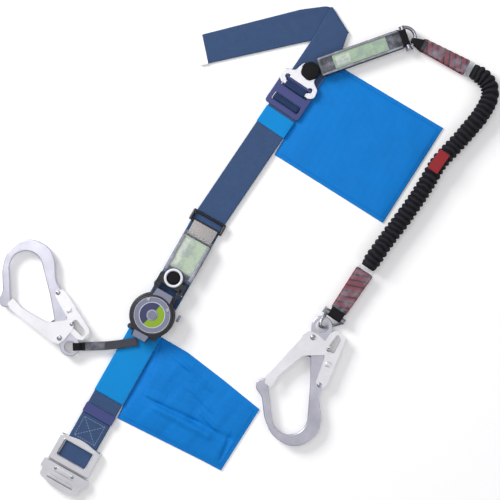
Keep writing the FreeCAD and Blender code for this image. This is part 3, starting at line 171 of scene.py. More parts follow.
def waves(x: Array, y: Array, seed: int, size: float, octaves: int = 3) -> Array:
    """Smooth uneven heights for cloth and webbing.

    Args:
        x: first coordinate of each point.
        y: second coordinate of each point.
        seed: chooses directions and phases.
        size: length of the longest wave, in the coordinates' unit.
        octaves: how many finer layers are added.

    Returns:
        A sum of sines in random directions, each octave half as long and half as high, within -1 to 1.
    """
    random = np.random.default_rng(seed)
    total = np.zeros(np.broadcast(x, y).shape)
    weight = 0.0
    for octave in range(octaves):
        share = 0.5**octave
        for _ in range(3):
            turn, phase = random.uniform(0.0, TAU, 2)
            step = TAU / (size * share) * random.uniform(0.8, 1.25)
            total += share * np.sin(step * (x * math.cos(turn) + y * math.sin(turn)) + phase)
            weight += share
    return total / weight


def coons(bottom: Line, top: Line, left: Line, right: Line, rows: int, columns: int) -> Array:
    """Grid of plan points between four edges.

    Args:
        bottom: edge at row 0, from left to right.
        top: edge at the last row, from left to right.
        left: edge at column 0, from bottom to top.
        right: edge at the last column, from bottom to top.
        rows: number of rows.
        columns: number of columns.

    Returns:
        The two ruled surfaces added, less the bilinear one of the corners (a Coons patch).
    """
    low, high = resampled(bottom, columns)[None], resampled(top, columns)[None]
    west, east = resampled(left, rows)[:, None], resampled(right, rows)[:, None]
    v = np.linspace(0, 1, rows)[:, None, None]
    u = np.linspace(0, 1, columns)[None, :, None]
    flat = (1 - u) * (1 - v) * low[:, :1] + u * (1 - v) * low[:, -1:]
    flat = flat + (1 - u) * v * high[:, :1] + u * v * high[:, -1:]
    return (1 - v) * low + v * high + (1 - u) * west + u * east - flat


# ---------------------------------------------------------------- meshes


def make_object(name: str, points: Array, faces: Array, uv: Array) -> Piece:
    """Put arrays into a mesh.

    Args:
        name: name of the piece.
        points: vertices in metres.
        faces: quads as four vertex numbers each; a repeated last number makes a triangle.
        uv: texture coordinates of each face corner, four to a face.

    Returns:
        The new object, at the origin, smooth shaded.
    """
    mesh = bpy.data.meshes.new(name)
    three = faces[:, 3] == faces[:, 2]
    counts = np.where(three, 3, 4)
    keep = np.ones(faces.shape, bool)
    keep[three, 3] = False
    mesh.vertices.add(len(points))
    mesh.vertices.foreach_set("co", points.astype(np.float32).ravel())
    mesh.loops.add(int(counts.sum()))
    mesh.loops.foreach_set("vertex_index", faces[keep].astype(np.int32))
    mesh.polygons.add(len(faces))
    starts = np.concatenate([[0], np.cumsum(counts)[:-1]])
    mesh.polygons.foreach_set("loop_start", starts.astype(np.int32))
    layer = mesh.uv_layers.new(name="UVMap")
    layer.data.foreach_set("uv", uv[keep].astype(np.float32).ravel())
    mesh.polygons.foreach_set("use_smooth", np.ones(len(faces), bool))
    mesh.update(calc_edges=True)
    mesh.validate()
    made = bpy.data.objects.new(name, mesh)
    bpy.context.scene.collection.objects.link(made)
    return made


def grid_faces(rows: int, columns: int, around: bool) -> Array:
    """Quads of a grid whose vertices are counted row by row.

    Args:
        rows: number of rows of vertices.
        columns: number of vertices in a row.
        around: joins the last column to the first.

    Returns:
        Vertex numbers, four to a quad.
    """
    across = columns if around else columns - 1
    i, j = np.meshgrid(np.arange(rows - 1), np.arange(across), indexing="ij")
    k = (j + 1) % columns
    quads = [i * columns + j, (i + 1) * columns + j, (i + 1) * columns + k, i * columns + k]
    return np.stack(quads, axis=-1).reshape(-1, 4)


def grid_uv(rows: int, columns: int, around: bool, long: float, wide: float) -> Array:
    """Texture coordinates in metres for the quads of grid_faces, without a jump at the seam."""
    across = columns if around else columns - 1
    i, j = np.meshgrid(np.arange(rows - 1), np.arange(across), indexing="ij")
    u, v = long / (rows - 1), wide / across
    corners = [(i, j), (i + 1, j), (i + 1, j + 1), (i, j + 1)]
    return np.stack([np.stack([a * u, b * v], axis=-1) for a, b in corners], axis=-2).reshape(-1, 4, 2)


def shell(name: str, top: Array, low: Array) -> Piece:
    """Closed slab between two grids.

    Args:
        name: name of the piece.
        top: upper grid, rows by columns by 3, in metres; rows run along the piece.
        low: lower grid of the same shape.

    Returns:
        Both grids joined round their rim by a middle ring pushed out by half the thickness, so the
        edge is rounded. Texture coordinates are metres along and across.
    """
    rows, columns = top.shape[:2]
    count = rows * columns
    index = np.arange(count).reshape(rows, columns)
    rim = np.concatenate([index[0, :], index[1:, -1], index[-1, -2::-1], index[-2:0:-1, 0]])
    upper, lower = top.reshape(-1, 3), low.reshape(-1, 3)
    middle = (upper[rim] + lower[rim]) / 2
    inside = index[np.clip(np.arange(rows), 1, rows - 2)]
    inside = inside[:, np.clip(np.arange(columns), 1, columns - 2)]
    inward = inside.reshape(-1)[rim]
    out = upper[rim] - upper[inward]
    out /= np.maximum(np.linalg.norm(out, axis=1, keepdims=True), 1e-9)
    thick = np.linalg.norm(upper[rim] - lower[rim], axis=1, keepdims=True)
    middle = middle + out * thick * 0.3
    points = np.concatenate([upper, lower, middle])
    long, wide = length_of(top[:, columns // 2]), length_of(top[rows // 2])
    flat, coords = grid_faces(rows, columns, False), grid_uv(rows, columns, False, long, wide)
    ring = 2 * count + np.arange(len(rim))
    after, following = np.roll(ring, -1), np.roll(rim, -1)
    # the rim runs along row 0 first, against the upper quads' own turn
    wall_up = np.stack([rim, following, after, ring], axis=1)
    wall_low = np.stack([ring, after, following + count, rim + count], axis=1)
    spots = np.stack([np.repeat(np.arange(rows) * long / (rows - 1), columns),
                      np.tile(np.arange(columns) * wide / (columns - 1), rows)], axis=1)
    edge_uv = np.stack([spots[rim], spots[following], spots[following], spots[rim]], axis=1)
    faces = np.concatenate([flat, flat[:, ::-1] + count, wall_up, wall_low])
    uv = np.concatenate([coords, coords[:, ::-1], edge_uv, edge_uv])
    made = make_object(name, points, faces, uv)
    outwards(made)
    return made


def outwards(made: Piece) -> None:
    """Turn a closed mesh inside out if its signed volume is negative."""
    mesh = made.data
    mesh.calc_loop_triangles()
    points = np.zeros(len(mesh.vertices) * 3, np.float32)
    mesh.vertices.foreach_get("co", points)
    corners = np.zeros(len(mesh.loop_triangles) * 3, np.int32)
    mesh.loop_triangles.foreach_get("vertices", corners)
    a, b, c = points.reshape(-1, 3)[corners.reshape(-1, 3)].astype(float).transpose(1, 0, 2)
    if float((a * np.cross(b, c)).sum()) < 0:
        mesh.flip_normals()


def band(name: str, left: Array, right: Array, thick: float, place: Place,
         columns: int = 26, crown: float = 0.0, seed: int = 0, wave: float = 0.0) -> Piece:
    """Webbing carried along a path.

    Args:
        name: name of the piece.
        left: one edge of the middle layer, n by 3, local millimetres.
        right: the other edge, as long.
        thick: thickness in millimetres.
        place: where the local millimetres lie.
        columns: points across.
        crown: extra height at the middle of the width, in millimetres.
        seed: chooses the waves.
        wave: height of slow waves, in millimetres.

    Returns:
        The two edges ruled together, offset by half the thickness along the normal, which is the
        cross product of the run and the width.
    """
    share = np.linspace(0.0, 1.0, columns)[None, :, None]
    middle = left[:, None] * (1 - share) + right[:, None] * share
    run = np.gradient(middle, axis=0)
    width = (right - left)[:, None]
    normal = np.cross(width, run)
    normal /= np.maximum(np.linalg.norm(normal, axis=2, keepdims=True), 1e-9)
    if normal[len(normal) // 4, 0, 2] < 0:
        normal = -normal
    lift = crown * (1 - (2 * share - 1) ** 2)
    if wave:
        far = np.cumsum(np.linalg.norm(run, axis=2, keepdims=True), axis=0)
        lift = lift + wave * waves(far, share * 50.0, seed, 90.0)
    top = middle + normal * (thick / 2 + lift)
    low = middle - normal * (thick / 2)
    return shell(name, place.metres(top), place.metres(low))


def side_band(name: str, path: Line, half: Union[float, Array], thick: float, place: Place,
              count: int = 80, softness: float = 0.12, centre: float = 0.0) -> Piece:
    """Webbing that loops up and over in the XZ plane of a place.

    Args:
        name: name of the piece.
        path: corners (x, z) of the middle layer, in millimetres.
        half: half the width, one number or one for each of the count points.
        thick: thickness in millimetres.
        place: where it lies.
        count: points along the path.
        softness: how far corners are rounded.
        centre: y of the middle of the band.

    Returns:
        The band of that side profile, its width along Y.
    """
    line = rounded(path, count, softness)
    reach = np.broadcast_to(np.asarray(half, float), (count,))
    left = np.stack([line[:, 0], centre - reach, line[:, 1]], axis=1)
    right = np.stack([line[:, 0], centre + reach, line[:, 1]], axis=1)
    return band(name, left, right, thick, place, columns=18)


def pole_faces(rings: int, sides: int) -> Array:
    """Faces that close the first and the last ring of a grid onto a pole each.

    Args:
        rings: number of rings; the two poles follow them in the vertex order.
        sides: points in a ring.

    Returns:
        Triangles written as quads whose last number repeats.
    """
    k, step = np.arange(sides), (np.arange(sides) + 1) % sides
    high, pole = (rings - 1) * sides, np.full(sides, rings * sides)
    first = np.stack([k, step, pole, pole], axis=1)
    last = np.stack([high + step, high + k, pole + 1, pole + 1], axis=1)
    return np.concatenate([first, last])


def lathe(name: str, place: Place, profile: Line, sides: int = 64,
          outline: Optional[Callable[[Array], Array]] = None,
          centre: Pair = (0.0, 0.0)) -> Piece:
    """Round or lobed solid about a vertical axis.

    Args:
        name: name of the piece.
        place: where it lies.
        profile: (radius, z) from the bottom pole to the top pole; both ends have radius 0.
        sides: points round it.
        outline: factor on the radius for each angle, 1 if left out.
        centre: the axis in the place's own millimetres.

    Returns:
        The profile turned about the axis, its radius times the outline; the poles are single points.
    """
    turn = np.arange(sides) * TAU / sides
    factor = outline(turn) if outline else np.ones(sides)
    inner = np.asarray(profile, float)[1:-1]
    r, z = inner[:, :1] * factor[None], np.repeat(inner[:, 1:], sides, axis=1)
    ring = np.stack([centre[0] + r * np.cos(turn), centre[1] + r * np.sin(turn), z], axis=-1)
    poles = np.array([[*centre, profile[0][1]], [*centre, profile[-1][1]]])
    points = place.metres(np.concatenate([ring.reshape(-1, 3), poles]))
    faces = np.concatenate([grid_faces(len(inner), sides, True), pole_faces(len(inner), sides)])
    made = make_object(name, points, faces, points[faces][:, :, :2])
    outwards(made)
    return made


def ring_profile(name: str, place: Place, profile: Line, sides: int = 72,
                 centre: Pair = (0.0, 0.0)) -> Piece:
    """Closed ring.

    Args:
        name: name of the piece.
        place: where it lies.
        profile: closed outline of (radius, z) points.
        sides: points round it.
        centre: the axis in the place's own millimetres.

    Returns:
        The outline turned about the vertical axis.
    """
    turn = np.arange(sides) * TAU / sides
    outline = np.asarray(profile, float)
    r, z = (np.repeat(outline[None, :, k], sides, axis=0) for k in range(2))
    east, north = centre[0] + r * np.cos(turn)[:, None], centre[1] + r * np.sin(turn)[:, None]
    grid = np.stack([east, north, z], axis=-1)
    grid = np.concatenate([grid, grid[:1]])
    count = len(outline)
    faces = grid_faces(sides + 1, count, True) % (sides * count)
    uv = grid_uv(sides + 1, count, True, 0.2, 0.05)
    made = make_object(name, place.metres(grid[:-1]).reshape(-1, 3), faces, uv)
    outwards(made)
    return made


def tube(name: str, line: Array, radius: Array) -> Piece:
    """Tube along a line in the frame.

    Args:
        name: name of the piece.
        line: centres in metres, n by 3.
        radius: n by sides, the distance from the centre at each point of each ring, in metres.

    Returns:
        Rings square to the run, in axes built from the run and +Z, closed by a pole at each end and
        pressed flat where they would go under the table.
    """
    run = np.gradient(line, axis=0)
    run /= np.linalg.norm(run, axis=1, keepdims=True)
    side = np.cross(run, [0.0, 0.0, 1.0])
    side /= np.linalg.norm(side, axis=1, keepdims=True)
    rise = np.cross(side, run)
    count, sides = radius.shape
    turn = np.arange(sides) * TAU / sides
    cosine, sine = np.cos(turn)[None, :, None], np.sin(turn)[None, :, None]
    ring = radius[..., None] * (cosine * side[:, None] + sine * rise[:, None])
    points = np.concatenate([(line[:, None] + ring).reshape(-1, 3), line[:1], line[-1:]])
    points[:, 2] = np.maximum(points[:, 2], 0.0001)
    faces = np.concatenate([grid_faces(count, sides, True), pole_faces(count, sides)])
    uv = grid_uv(count, sides, True, length_of(line), TAU * float(radius.mean()))
    caps = np.zeros((2 * sides, 4, 2))
    made = make_object(name, points, faces, np.concatenate([uv, caps]))
    outwards(made)
    return made


def stitches(name: str, lines: Sequence[Line], place: Place, height: float, long: float = 3.2,
             gap: float = 1.4, thick: float = 0.7) -> Piece:
    """Rows of sewn thread.

    Args:
        name: name of the piece.
        lines: polylines (x, y) in the place's own millimetres.
        place: where they lie.
        height: z of the cloth's face, in millimetres.
        long: length of one stitch.
        gap: space between stitches.
        thick: width of the thread.

    Returns:
        One small spindle for each stitch: three rings of six points whose radius follows a half
        sine, laid along the line and sunk by a third of its width.
    """
    starts, runs = [], []
    for line in lines:
        corners = np.asarray(line, float)
        count = max(1, int(length_of(corners) / (long + gap)))
        marks = resampled(corners, 2 * count + 1)
        starts.append(marks[1::2])
        step = marks[2::2] - marks[:-2:2]
        runs.append(step / np.maximum(np.linalg.norm(step, axis=1, keepdims=True), 1e-9))
    middle, run = np.concatenate(starts), np.concatenate(runs)
    side = np.stack([-run[:, 1], run[:, 0]], axis=1)
    along = np.array([-0.5, -0.38, 0.0, 0.38, 0.5]) * long
    size = np.array([0.3, 0.85, 1.0, 0.85, 0.3]) * thick / 2
    turn = np.arange(6) * TAU / 6
    across = size[:, None] * np.cos(turn)[None]
    rise = size[:, None] * np.sin(turn)[None] + height + thick * 0.15
    plan = (middle[:, None, None] + run[:, None, None] * along[None, :, None, None]
            + side[:, None, None] * across[None, ..., None])
    z = np.broadcast_to(rise[None, ..., None], (*plan.shape[:3], 1))
    points = place.metres(np.concatenate([plan, z], axis=-1)).reshape(-1, 3)
    body = grid_faces(5, 6, True)
    caps = np.array([[0, 1, 2, 5], [5, 2, 3, 4], [24, 29, 26, 25], [29, 28, 27, 26]])
    one = np.concatenate([body, caps])
    faces = (one[None] + 30 * np.arange(len(middle))[:, None, None]).reshape(-1, 4)
    made = make_object(name, points, faces, points[faces][:, :, :2])
    outwards(made)
    return made


# ---------------------------------------------------------------- materials


class Sock:
    """A socket in a shader expression; operators add Math or Vector Math nodes."""

    def __init__(self, graph: "Graph", socket: bpy.types.NodeSocket) -> None:
        """Keep the graph and the output socket."""
        self.graph = graph
        self.socket = socket

    def _math(self, operation: str, first: Any, second: Any = None) -> "Sock":
        """Add a Math node for one operation on values."""
        values = [first] if second is None else [first, second]
        return self.graph.node("ShaderNodeMath", {"operation": operation}, dict(enumerate(values)))

    def __add__(self, other: Any) -> "Sock":
        """Sum."""
        return self._math("ADD", self, other)

    def __radd__(self, other: Any) -> "Sock":
        """Sum, reflected."""
        return self._math("ADD", other, self)

    def __sub__(self, other: Any) -> "Sock":
        """Difference."""
        return self._math("SUBTRACT", self, other)

    def __rsub__(self, other: Any) -> "Sock":
        """Difference, reflected."""
        return self._math("SUBTRACT", other, self)

    def __mul__(self, other: Any) -> "Sock":
        """Product."""
        return self._math("MULTIPLY", self, other)

    def __rmul__(self, other: Any) -> "Sock":
        """Product, reflected."""
        return self._math("MULTIPLY", other, self)

    def sine(self) -> "Sock":
        """Sine of radians."""
        return self._math("SINE", self)

    def size(self) -> "Sock":
        """Absolute value."""
        return self._math("ABSOLUTE", self)

    def above(self, level: Any) -> "Sock":
        """1 where the value is greater than the level."""
        return self._math("GREATER_THAN", self, level)

    def clipped(self) -> "Sock":
        """Value held between 0 and 1."""
        return self.graph.node("ShaderNodeClamp", {}, {"Value": self})

    def angle_from(self, other: "Sock") -> "Sock":
        """Arc tangent of this over the other."""
        return self._math("ARCTAN2", self, other)


class Graph:
    """Node tree of one material with its Principled shader."""

    def __init__(self, name: str) -> None:
        """Make the material and find its shader."""
        self.material = bpy.data.materials.new(name)
        self.material.use_nodes = True
        self.tree = self.material.node_tree
        self.shader = next(n for n in self.tree.nodes if n.type == "BSDF_PRINCIPLED")

    def node(self, kind: str, settings: dict[str, Any], inputs: dict[Any, Any], out: Any = 0) -> Sock:
        """Add any node.

        Args:
            kind: the node's Blender type.
            settings: attributes, set first.
            inputs: socket name or number to a Sock, a value or a colour.
            out: name or number of the output that comes back.

        Returns:
            The output, wrapped.
        """
        made = self.tree.nodes.new(kind)
        for key, value in settings.items():
            setattr(made, key, value)
        for key, value in inputs.items():
            self.feed(made.inputs[key], value)
        return Sock(self, made.outputs[out])

    def feed(self, socket: bpy.types.NodeSocket, value: Any) -> None:
        """Link a Sock to a socket, or set a plain value."""
        if isinstance(value, Sock):
            self.tree.links.new(value.socket, socket)
        elif isinstance(value, tuple) and len(value) == 3 and socket.type == "RGBA":
            socket.default_value = (*value, 1.0)
        else:
            socket.default_value = value

    def set(self, **values: Any) -> None:
        """Feed the Principled shader; underscores in names stand for spaces."""
        for key, value in values.items():
            self.feed(self.shader.inputs[key.replace("_", " ")], value)

    def along_across(self) -> tuple[Sock, Sock]:
        """The piece's own texture coordinates in metres, along and across."""
        coords = self.node("ShaderNodeTexCoord", {}, {}, "UV")
        split = self.node("ShaderNodeSeparateXYZ", {}, {0: coords})
        nodes = split.socket.node.outputs
        return Sock(self, nodes[0]), Sock(self, nodes[1])

    def places(self) -> tuple[Sock, Sock, Sock]:
        """Object coordinates, one Sock for each axis."""
        split = self.node("ShaderNodeSeparateXYZ", {}, {0: self.object()})
        return tuple(Sock(self, output) for output in split.socket.node.outputs)

    def object(self) -> Sock:
        """Object coordinates as a vector."""
        return self.node("ShaderNodeTexCoord", {}, {}, "Object")

    def noise(self, scale: float, detail: float = 4.0, rough: float = 0.6) -> Sock:
        """Noise between 0 and 1 at a scale in cycles to the metre."""
        inputs = {"Vector": self.object(), "Scale": scale, "Detail": detail, "Roughness": rough}
        return self.node("ShaderNodeTexNoise", {}, inputs, "Fac")

    def mix(self, factor: Any, first: Any, second: Any) -> Sock:
        """Blend two colours."""
        made = self.tree.nodes.new("ShaderNodeMix")
        made.data_type = "RGBA"
        made.clamp_factor = True
        for number, value in ((0, factor), (6, first), (7, second)):
            self.feed(made.inputs[number], value)
        return Sock(self, made.outputs[2])

    def bump(self, height: Sock, strength: float, distance: float) -> Sock:
        """Normal from a height in units of the distance, in metres."""
        inputs = {"Height": height, "Strength": strength, "Distance": distance}
        return self.node("ShaderNodeBump", {}, inputs)


def linear(red: int, green: int, blue: int) -> Colour:
    """Linear colour from screen values 0 to 255."""
    def one(value: int) -> float:
        share = value / 255.0
        return share / 12.92 if share <= 0.04045 else ((share + 0.055) / 1.055) ** 2.4
    return (one(red), one(green), one(blue))


def shaded(colour: Colour, factor: float) -> Colour:
    """Colour made lighter or darker by a factor."""
    return tuple(min(1.0, part * factor) for part in colour)


@dataclass(frozen=True)
class Finish:
    """What the finishes of one colour share."""

    name: str
    colour: Colour

    def tones(self, g: Graph, level: Sock, dark: float, light: float) -> Sock:
        """Blend from the colour times one factor to the colour times another."""
        return g.mix(level, shaded(self.colour, dark), shaded(self.colour, light))


@dataclass(frozen=True)
class Webbing(Finish):
    """Woven strap: ribs across its run, a fine twill, painted highlight on the raised yarns and painted
    shade in the gaps.
    """

    rib: float = 0.0024
    ends: float = 0.0009
    depth: float = 0.0004
    spread: float = 0.35
    rough: float = 0.8

    def build(self) -> Material:
        """The height is the sum of slanted ribs and yarns; the colour follows it and slow noise, so
        raised yarns get painted light and the gaps painted shade.
        """
        g = Graph(self.name)
        along, across = g.along_across()
        rib = (along * (TAU / self.rib) + (across * (TAU / self.ends)).sine() * 0.8).sine()
        yarn = (across * (TAU / self.ends)).sine().size()
        height = rib * 0.5 + yarn * 0.5
        tone = g.noise(90.0)
        fuzz = g.noise(2500.0, 2.0)
        # the height lightens the colour: painted light on the raised yarns, painted shade in the gaps
        level = (height * 0.6 + tone * 0.45 + fuzz * 0.3 + 0.05).clipped()
        g.set(Base_Color=self.tones(g, level, 1 - self.spread, 1 + self.spread))
        g.set(Roughness=(fuzz * 0.15 + (self.rough - 0.08)).clipped(), Specular_IOR_Level=0.3)
        g.set(Normal=g.bump(height + fuzz * 0.4, 0.7, self.depth))
        return g.material


@dataclass(frozen=True)
class Cloth(Finish):
    """Coated nylon cloth: a fine plain weave, soft tone changes and light rubbed marks."""

    thread: float = 0.0007
    spread: float = 0.14

    def build(self) -> Material:
        """The weave is the product of two sines; slow noise shifts the colour and the roughness."""
        g = Graph(self.name)
        along, across = g.along_across()
        weave = (along * (TAU / self.thread)).sine() * (across * (TAU / self.thread)).sine()
        tone = g.noise(22.0, 5.0)
        fine = g.noise(420.0, 3.0)
        level = (tone * 0.7 + fine * 0.25 + weave * 0.08).clipped()
        base = self.tones(g, level, 1 - self.spread, 1 + self.spread)
        g.set(Base_Color=base, Roughness=(tone * 0.2 + 0.6).clipped(), Specular_IOR_Level=0.22)
        g.set(Normal=g.bump(weave * 0.4 + fine * 0.6, 0.35, 0.00018))
        return g.material


class Grain(Enum):
    """How a metal's surface was finished."""

    CAST = (700.0, 0.00012)
    BRUSHED = (260.0, 0.00004)
    POLISHED = (60.0, 0.00001)


@dataclass(frozen=True)
class Metal(Finish):
    """Plated or painted metal with fine grain, handling marks and slightly darker patches."""

    rough: float = 0.34
    metallic: float = 1.0
    grain: Grain = Grain.BRUSHED
    coat: float = 0.0
    dull: float = 0.82

    def build(self) -> Material:
        """Colour and roughness follow slow and fine noise, the bump follows the grain."""
        g = Graph(self.name)
        scale, depth = self.grain.value
        slow = g.noise(28.0, 5.0) * 1.6 - 0.3
        grain = g.noise(scale * 4.0, 2.0, 0.5)
        marks = g.noise(190.0, 6.0, 0.75)
        level = (slow * 0.8 + grain * 0.2).clipped()
        base = self.tones(g, level, self.dull, 1.08)
        g.set(Base_Color=base, Metallic=self.metallic, Coat_Weight=self.coat)
        g.set(Roughness=(marks * 0.08 + (self.rough - 0.04)).clipped())
        g.set(Normal=g.bump(grain, 0.12, depth))
        return g.material


@dataclass(frozen=True)
class Plastic(Finish):
    """Moulded plastic with a spark-eroded grain and faint scuffs."""

    rough: float = 0.45
    grain: float = 0.00006
    clear: float = 1.0

    def build(self) -> Material:
        """Fine noise makes the grain, rough noise the scuffs; a clear part gets an even alpha."""
        g = Graph(self.name)
        grain = g.noise(1900.0, 2.0)
        slow = g.noise(40.0, 4.0)
        scuff = (g.noise(330.0, 7.0, 0.8) - 0.55).clipped()
        base = self.tones(g, (slow * 0.8 + scuff * 0.9).clipped(), 0.88, 1.16)
        g.set(Base_Color=base, Roughness=(scuff * 0.6 + slow * 0.1 + (self.rough - 0.05)).clipped())
        g.set(Normal=g.bump(grain, 0.4, self.grain), Alpha=self.clear)
        return g.material


@dataclass(frozen=True)
class Film(Finish):
    """Clear sleeve film: mostly see-through, with dull wrinkles that catch the light."""

    least: float = 0.12
    most: float = 0.5

    def build(self) -> Material:
        """Alpha rises where noise makes a crease; the same noise lifts the surface."""
        g = Graph(self.name)
        crease = g.noise(70.0, 3.0, 0.5)
        fine = g.noise(300.0, 2.0, 0.4)
        level = ((crease - 0.45) * 3.0).clipped()
        g.set(Base_Color=self.tones(g, level, 0.85, 1.1))
        g.set(Alpha=(level * (self.most - self.least) + self.least).clipped())
        g.set(Roughness=(fine * 0.2 + 0.08).clipped())
        g.set(Normal=g.bump(crease + fine * 0.1, 0.3, 0.0006))
        return g.material


@dataclass(frozen=True)
class FoldedWebbing(Finish):
    """Tear webbing packed in slanting folds: each fold has painted shade in its crease and a weave."""

    # crease: colour of the painted shade in each fold's crease
    crease: Colour
    pitch: float = 0.0105
    slant: float = 0.45

    def build(self) -> Material:
        """A sine of the slanted distance, cut high, marks the creases, which take the painted shade
        colour; a fine weave covers the rest.
        """
        g = Graph(self.name)
        along, across = g.along_across()
        phase = (along + across * self.slant + g.noise(60.0, 2.0) * 0.002) * (TAU / self.pitch)
        crease = ((phase.sine() - 0.55) * 3.2).clipped()
        weave = (along * (TAU / 0.0012)).sine() * (across * (TAU / 0.0012)).sine()
        tone = g.noise(160.0)
        base = self.tones(g, (tone * 0.8 + weave * 0.1).clipped(), 0.75, 1.3)
        # creases take the dark colour: painted shade
        g.set(Base_Color=g.mix(crease, base, self.crease), Roughness=(tone * 0.2 + 0.65).clipped())
        g.set(Normal=g.bump(weave * 0.1 - crease, 0.8, 0.0006))
        return g.material


@dataclass(frozen=True)
class Gathered(Finish):
    """Gathered cover of the bellows: deep folds round the tube, tight knit, and painted highlight on
    the crowns with painted shade in the valleys.
    """


    def build(self) -> Material:
        """The mesh's crown attribute, fine noise and a knit of sines set the colour; the crown
        attribute paints the crowns lighter and the valleys darker, as painted light and shade.
        """
        g = Graph(self.name)
        along, across = g.along_across()
        knit = (along * (TAU / 0.0011)).sine() * (across * (TAU / 0.0014)).sine()
        crown = g.node("ShaderNodeAttribute", {"attribute_name": "crown"}, {}, "Fac")
        fold = g.noise(140.0, 5.0, 0.7)
        # crown lightens the fold crowns and leaves the valleys dark: painted highlight and shade
        level = (fold * 0.4 + knit * 0.1 + crown * crown * 0.6).clipped()
        g.set(Base_Color=self.tones(g, level, 0.25, 4.2))
        g.set(Roughness=(fold * 0.25 + 0.65).clipped(), Specular_IOR_Level=0.2)
        g.set(Normal=g.bump(knit * 0.2 + fold, 0.6, 0.0007))
        return g.material


@dataclass(frozen=True)
class TwoColourRing:
    """Face ring of the reel: dark navy on one side and yellow green on the other."""

    name: str
    dark: Colour
    bright: Colour
    centre: Place = REEL
    bright_from: float = -2.35
    bright_to: float = 0.85

    def build(self) -> Material:
        """The angle about the reel's centre chooses the colour; fine noise is the moulded grain."""
        g = Graph(self.name)
        x, y, _z = g.places()
        turn = (y - self.centre.y * MM).angle_from(x - self.centre.x * MM)
        bright = turn.above(self.bright_from) * (1.0 - turn.above(self.bright_to))
        grain = g.noise(1700.0, 2.0)
        dark = g.mix(grain, shaded(self.dark, 0.8), shaded(self.dark, 1.2))
        light = g.mix(grain, shaded(self.bright, 0.85), shaded(self.bright, 1.12))
        g.set(Base_Color=g.mix(bright, dark, light), Roughness=(grain * 0.2 + 0.35).clipped())
        g.set(Normal=g.bump(grain, 0.4, 0.00005))
        return g.material


@dataclass(frozen=True)
class PrintedLabel(Finish):
    """Plain coloured label under the film, with a paler panel and thin rules and no words."""

    place: Place
    box: tuple[float, float, float, float]

    def build(self) -> Material:
        """Object coordinates turned into the label's own millimetres draw a border and a panel."""
        g = Graph(self.name)
        x, y, _z = g.places()
        turn = math.radians(self.place.angle)
        dx, dy = x - self.place.x * MM, y - self.place.y * MM
        along = (dx * math.cos(turn) + dy * math.sin(turn)) * (1 / MM)
        across = (dy * math.cos(turn) - dx * math.sin(turn)) * (1 / MM)
        left, low, right, high = self.box
        inside = along.above(left + 2.0) * (1.0 - along.above(right - 2.0))
        inside = inside * across.above(low + 2.0) * (1.0 - across.above(high - 2.0))
        panel = along.above(left + 4.0) * (1.0 - along.above(left + 0.3 * (right - left)))
        panel = panel * across.above(low + 4.0) * (1.0 - across.above(high - 4.0))
        rules = ((across * 2.1).sine() - 0.6).above(0.0) * inside * (1.0 - panel) * 0.35
        mottle = g.noise(300.0, 4.0)
        base = self.tones(g, mottle, 0.88, 1.1)
        base = g.mix((1.0 - inside) * 0.3 + rules, base, shaded(self.colour, 0.45))
        base = g.mix(panel * 0.6, base, (0.85, 0.88, 0.8))
        g.set(Base_Color=base, Roughness=(mottle * 0.2 + 0.3).clipped())
        g.set(Normal=g.bump(mottle, 0.2, 0.0001))
        return g.material


@dataclass
class Finishes:
    """Every finish of the object, built once and shared."""

    made: dict[str, Material] = field(default_factory=dict)

    def all(self) -> dict[str, Material]:
        """Build the materials on first use and return them by finish name."""
        if not self.made:
            black = linear(19, 18, 22)
            for finish in (
                Webbing("navy_webbing", linear(58, 82, 120)),
                Webbing("black_webbing", black, rib=0.0015, spread=0.6),
                Webbing("grey_strap", linear(72, 72, 80), rib=0.0013, spread=0.5),
                Webbing("roll_webbing", linear(36, 56, 94), rib=0.0017),
                Cloth("blue_cloth", linear(0, 122, 206)),
                Cloth("light_blue_cloth", linear(0, 136, 210)),
                Cloth("pale_thread", linear(190, 196, 214)),
                Cloth("blue_thread", linear(20, 96, 176)),
                Metal("satin_metal", linear(232, 232, 237), 0.36, 0.92),
                Metal("hook_alloy", linear(214, 214, 227), 0.34, 0.97, Grain.CAST, 0.0, 0.62),
                Metal("gate_steel", linear(240, 240, 244), 0.4, 0.9, Grain.POLISHED, 0.0, 0.84),
                Metal("bright_steel", linear(176, 178, 186), 0.22, 1.0, Grain.POLISHED),
                Metal("black_steel", linear(24, 24, 27), 0.4, 0.2, Grain.CAST, 0.3),
                Metal("brown_steel", linear(146, 143, 142), 0.24, 1.0, Grain.POLISHED),
                Metal("spring_steel", linear(90, 92, 100), 0.35),
                Plastic("navy_plastic", linear(56, 64, 122)),
                Plastic("lavender_plastic", linear(120, 124, 146), 0.32),
                Plastic("dark_plastic", linear(40, 40, 48), 0.4),
                Plastic("white_plastic", linear(226, 228, 236), 0.35),
                Plastic("smoke_plastic", linear(44, 48, 62), 0.16, 0.00002, 0.88),
                Plastic("red_tag", linear(146, 10, 22), 0.4),
                # lighter, more opaque film for the sleeves' edges: painted highlight along the film's
                # edge
                Film("sleeve_edge", linear(178, 180, 194), 0.5, 0.9),
                Film("clear_sleeve", linear(176, 180, 194), 0.07, 0.34),
                # the second colour of each folded webbing is the painted shade of its creases
                FoldedWebbing("red_folds", linear(134, 40, 56), linear(40, 12, 18)),
                FoldedWebbing("black_folds", linear(62, 64, 72), linear(14, 14, 17), 0.021, 0.0),
                Gathered("bellows_cloth", linear(17, 16, 20)),
                TwoColourRing("face_ring", linear(50, 52, 92), linear(134, 168, 16)),
                PrintedLabel("reel_label", linear(196, 216, 186), LOWER_BELT,
                             (-22.0, -91.0, 23.0, -35.0)),
                PrintedLabel("pack_label", linear(178, 206, 170), UPPER_PACK,
                             (24.0, -11.0, 115.5, 11.5)),
            ):
                self.made[finish.name] = finish.build()
        return self.made


# ---------------------------------------------------------------- sub-assemblies


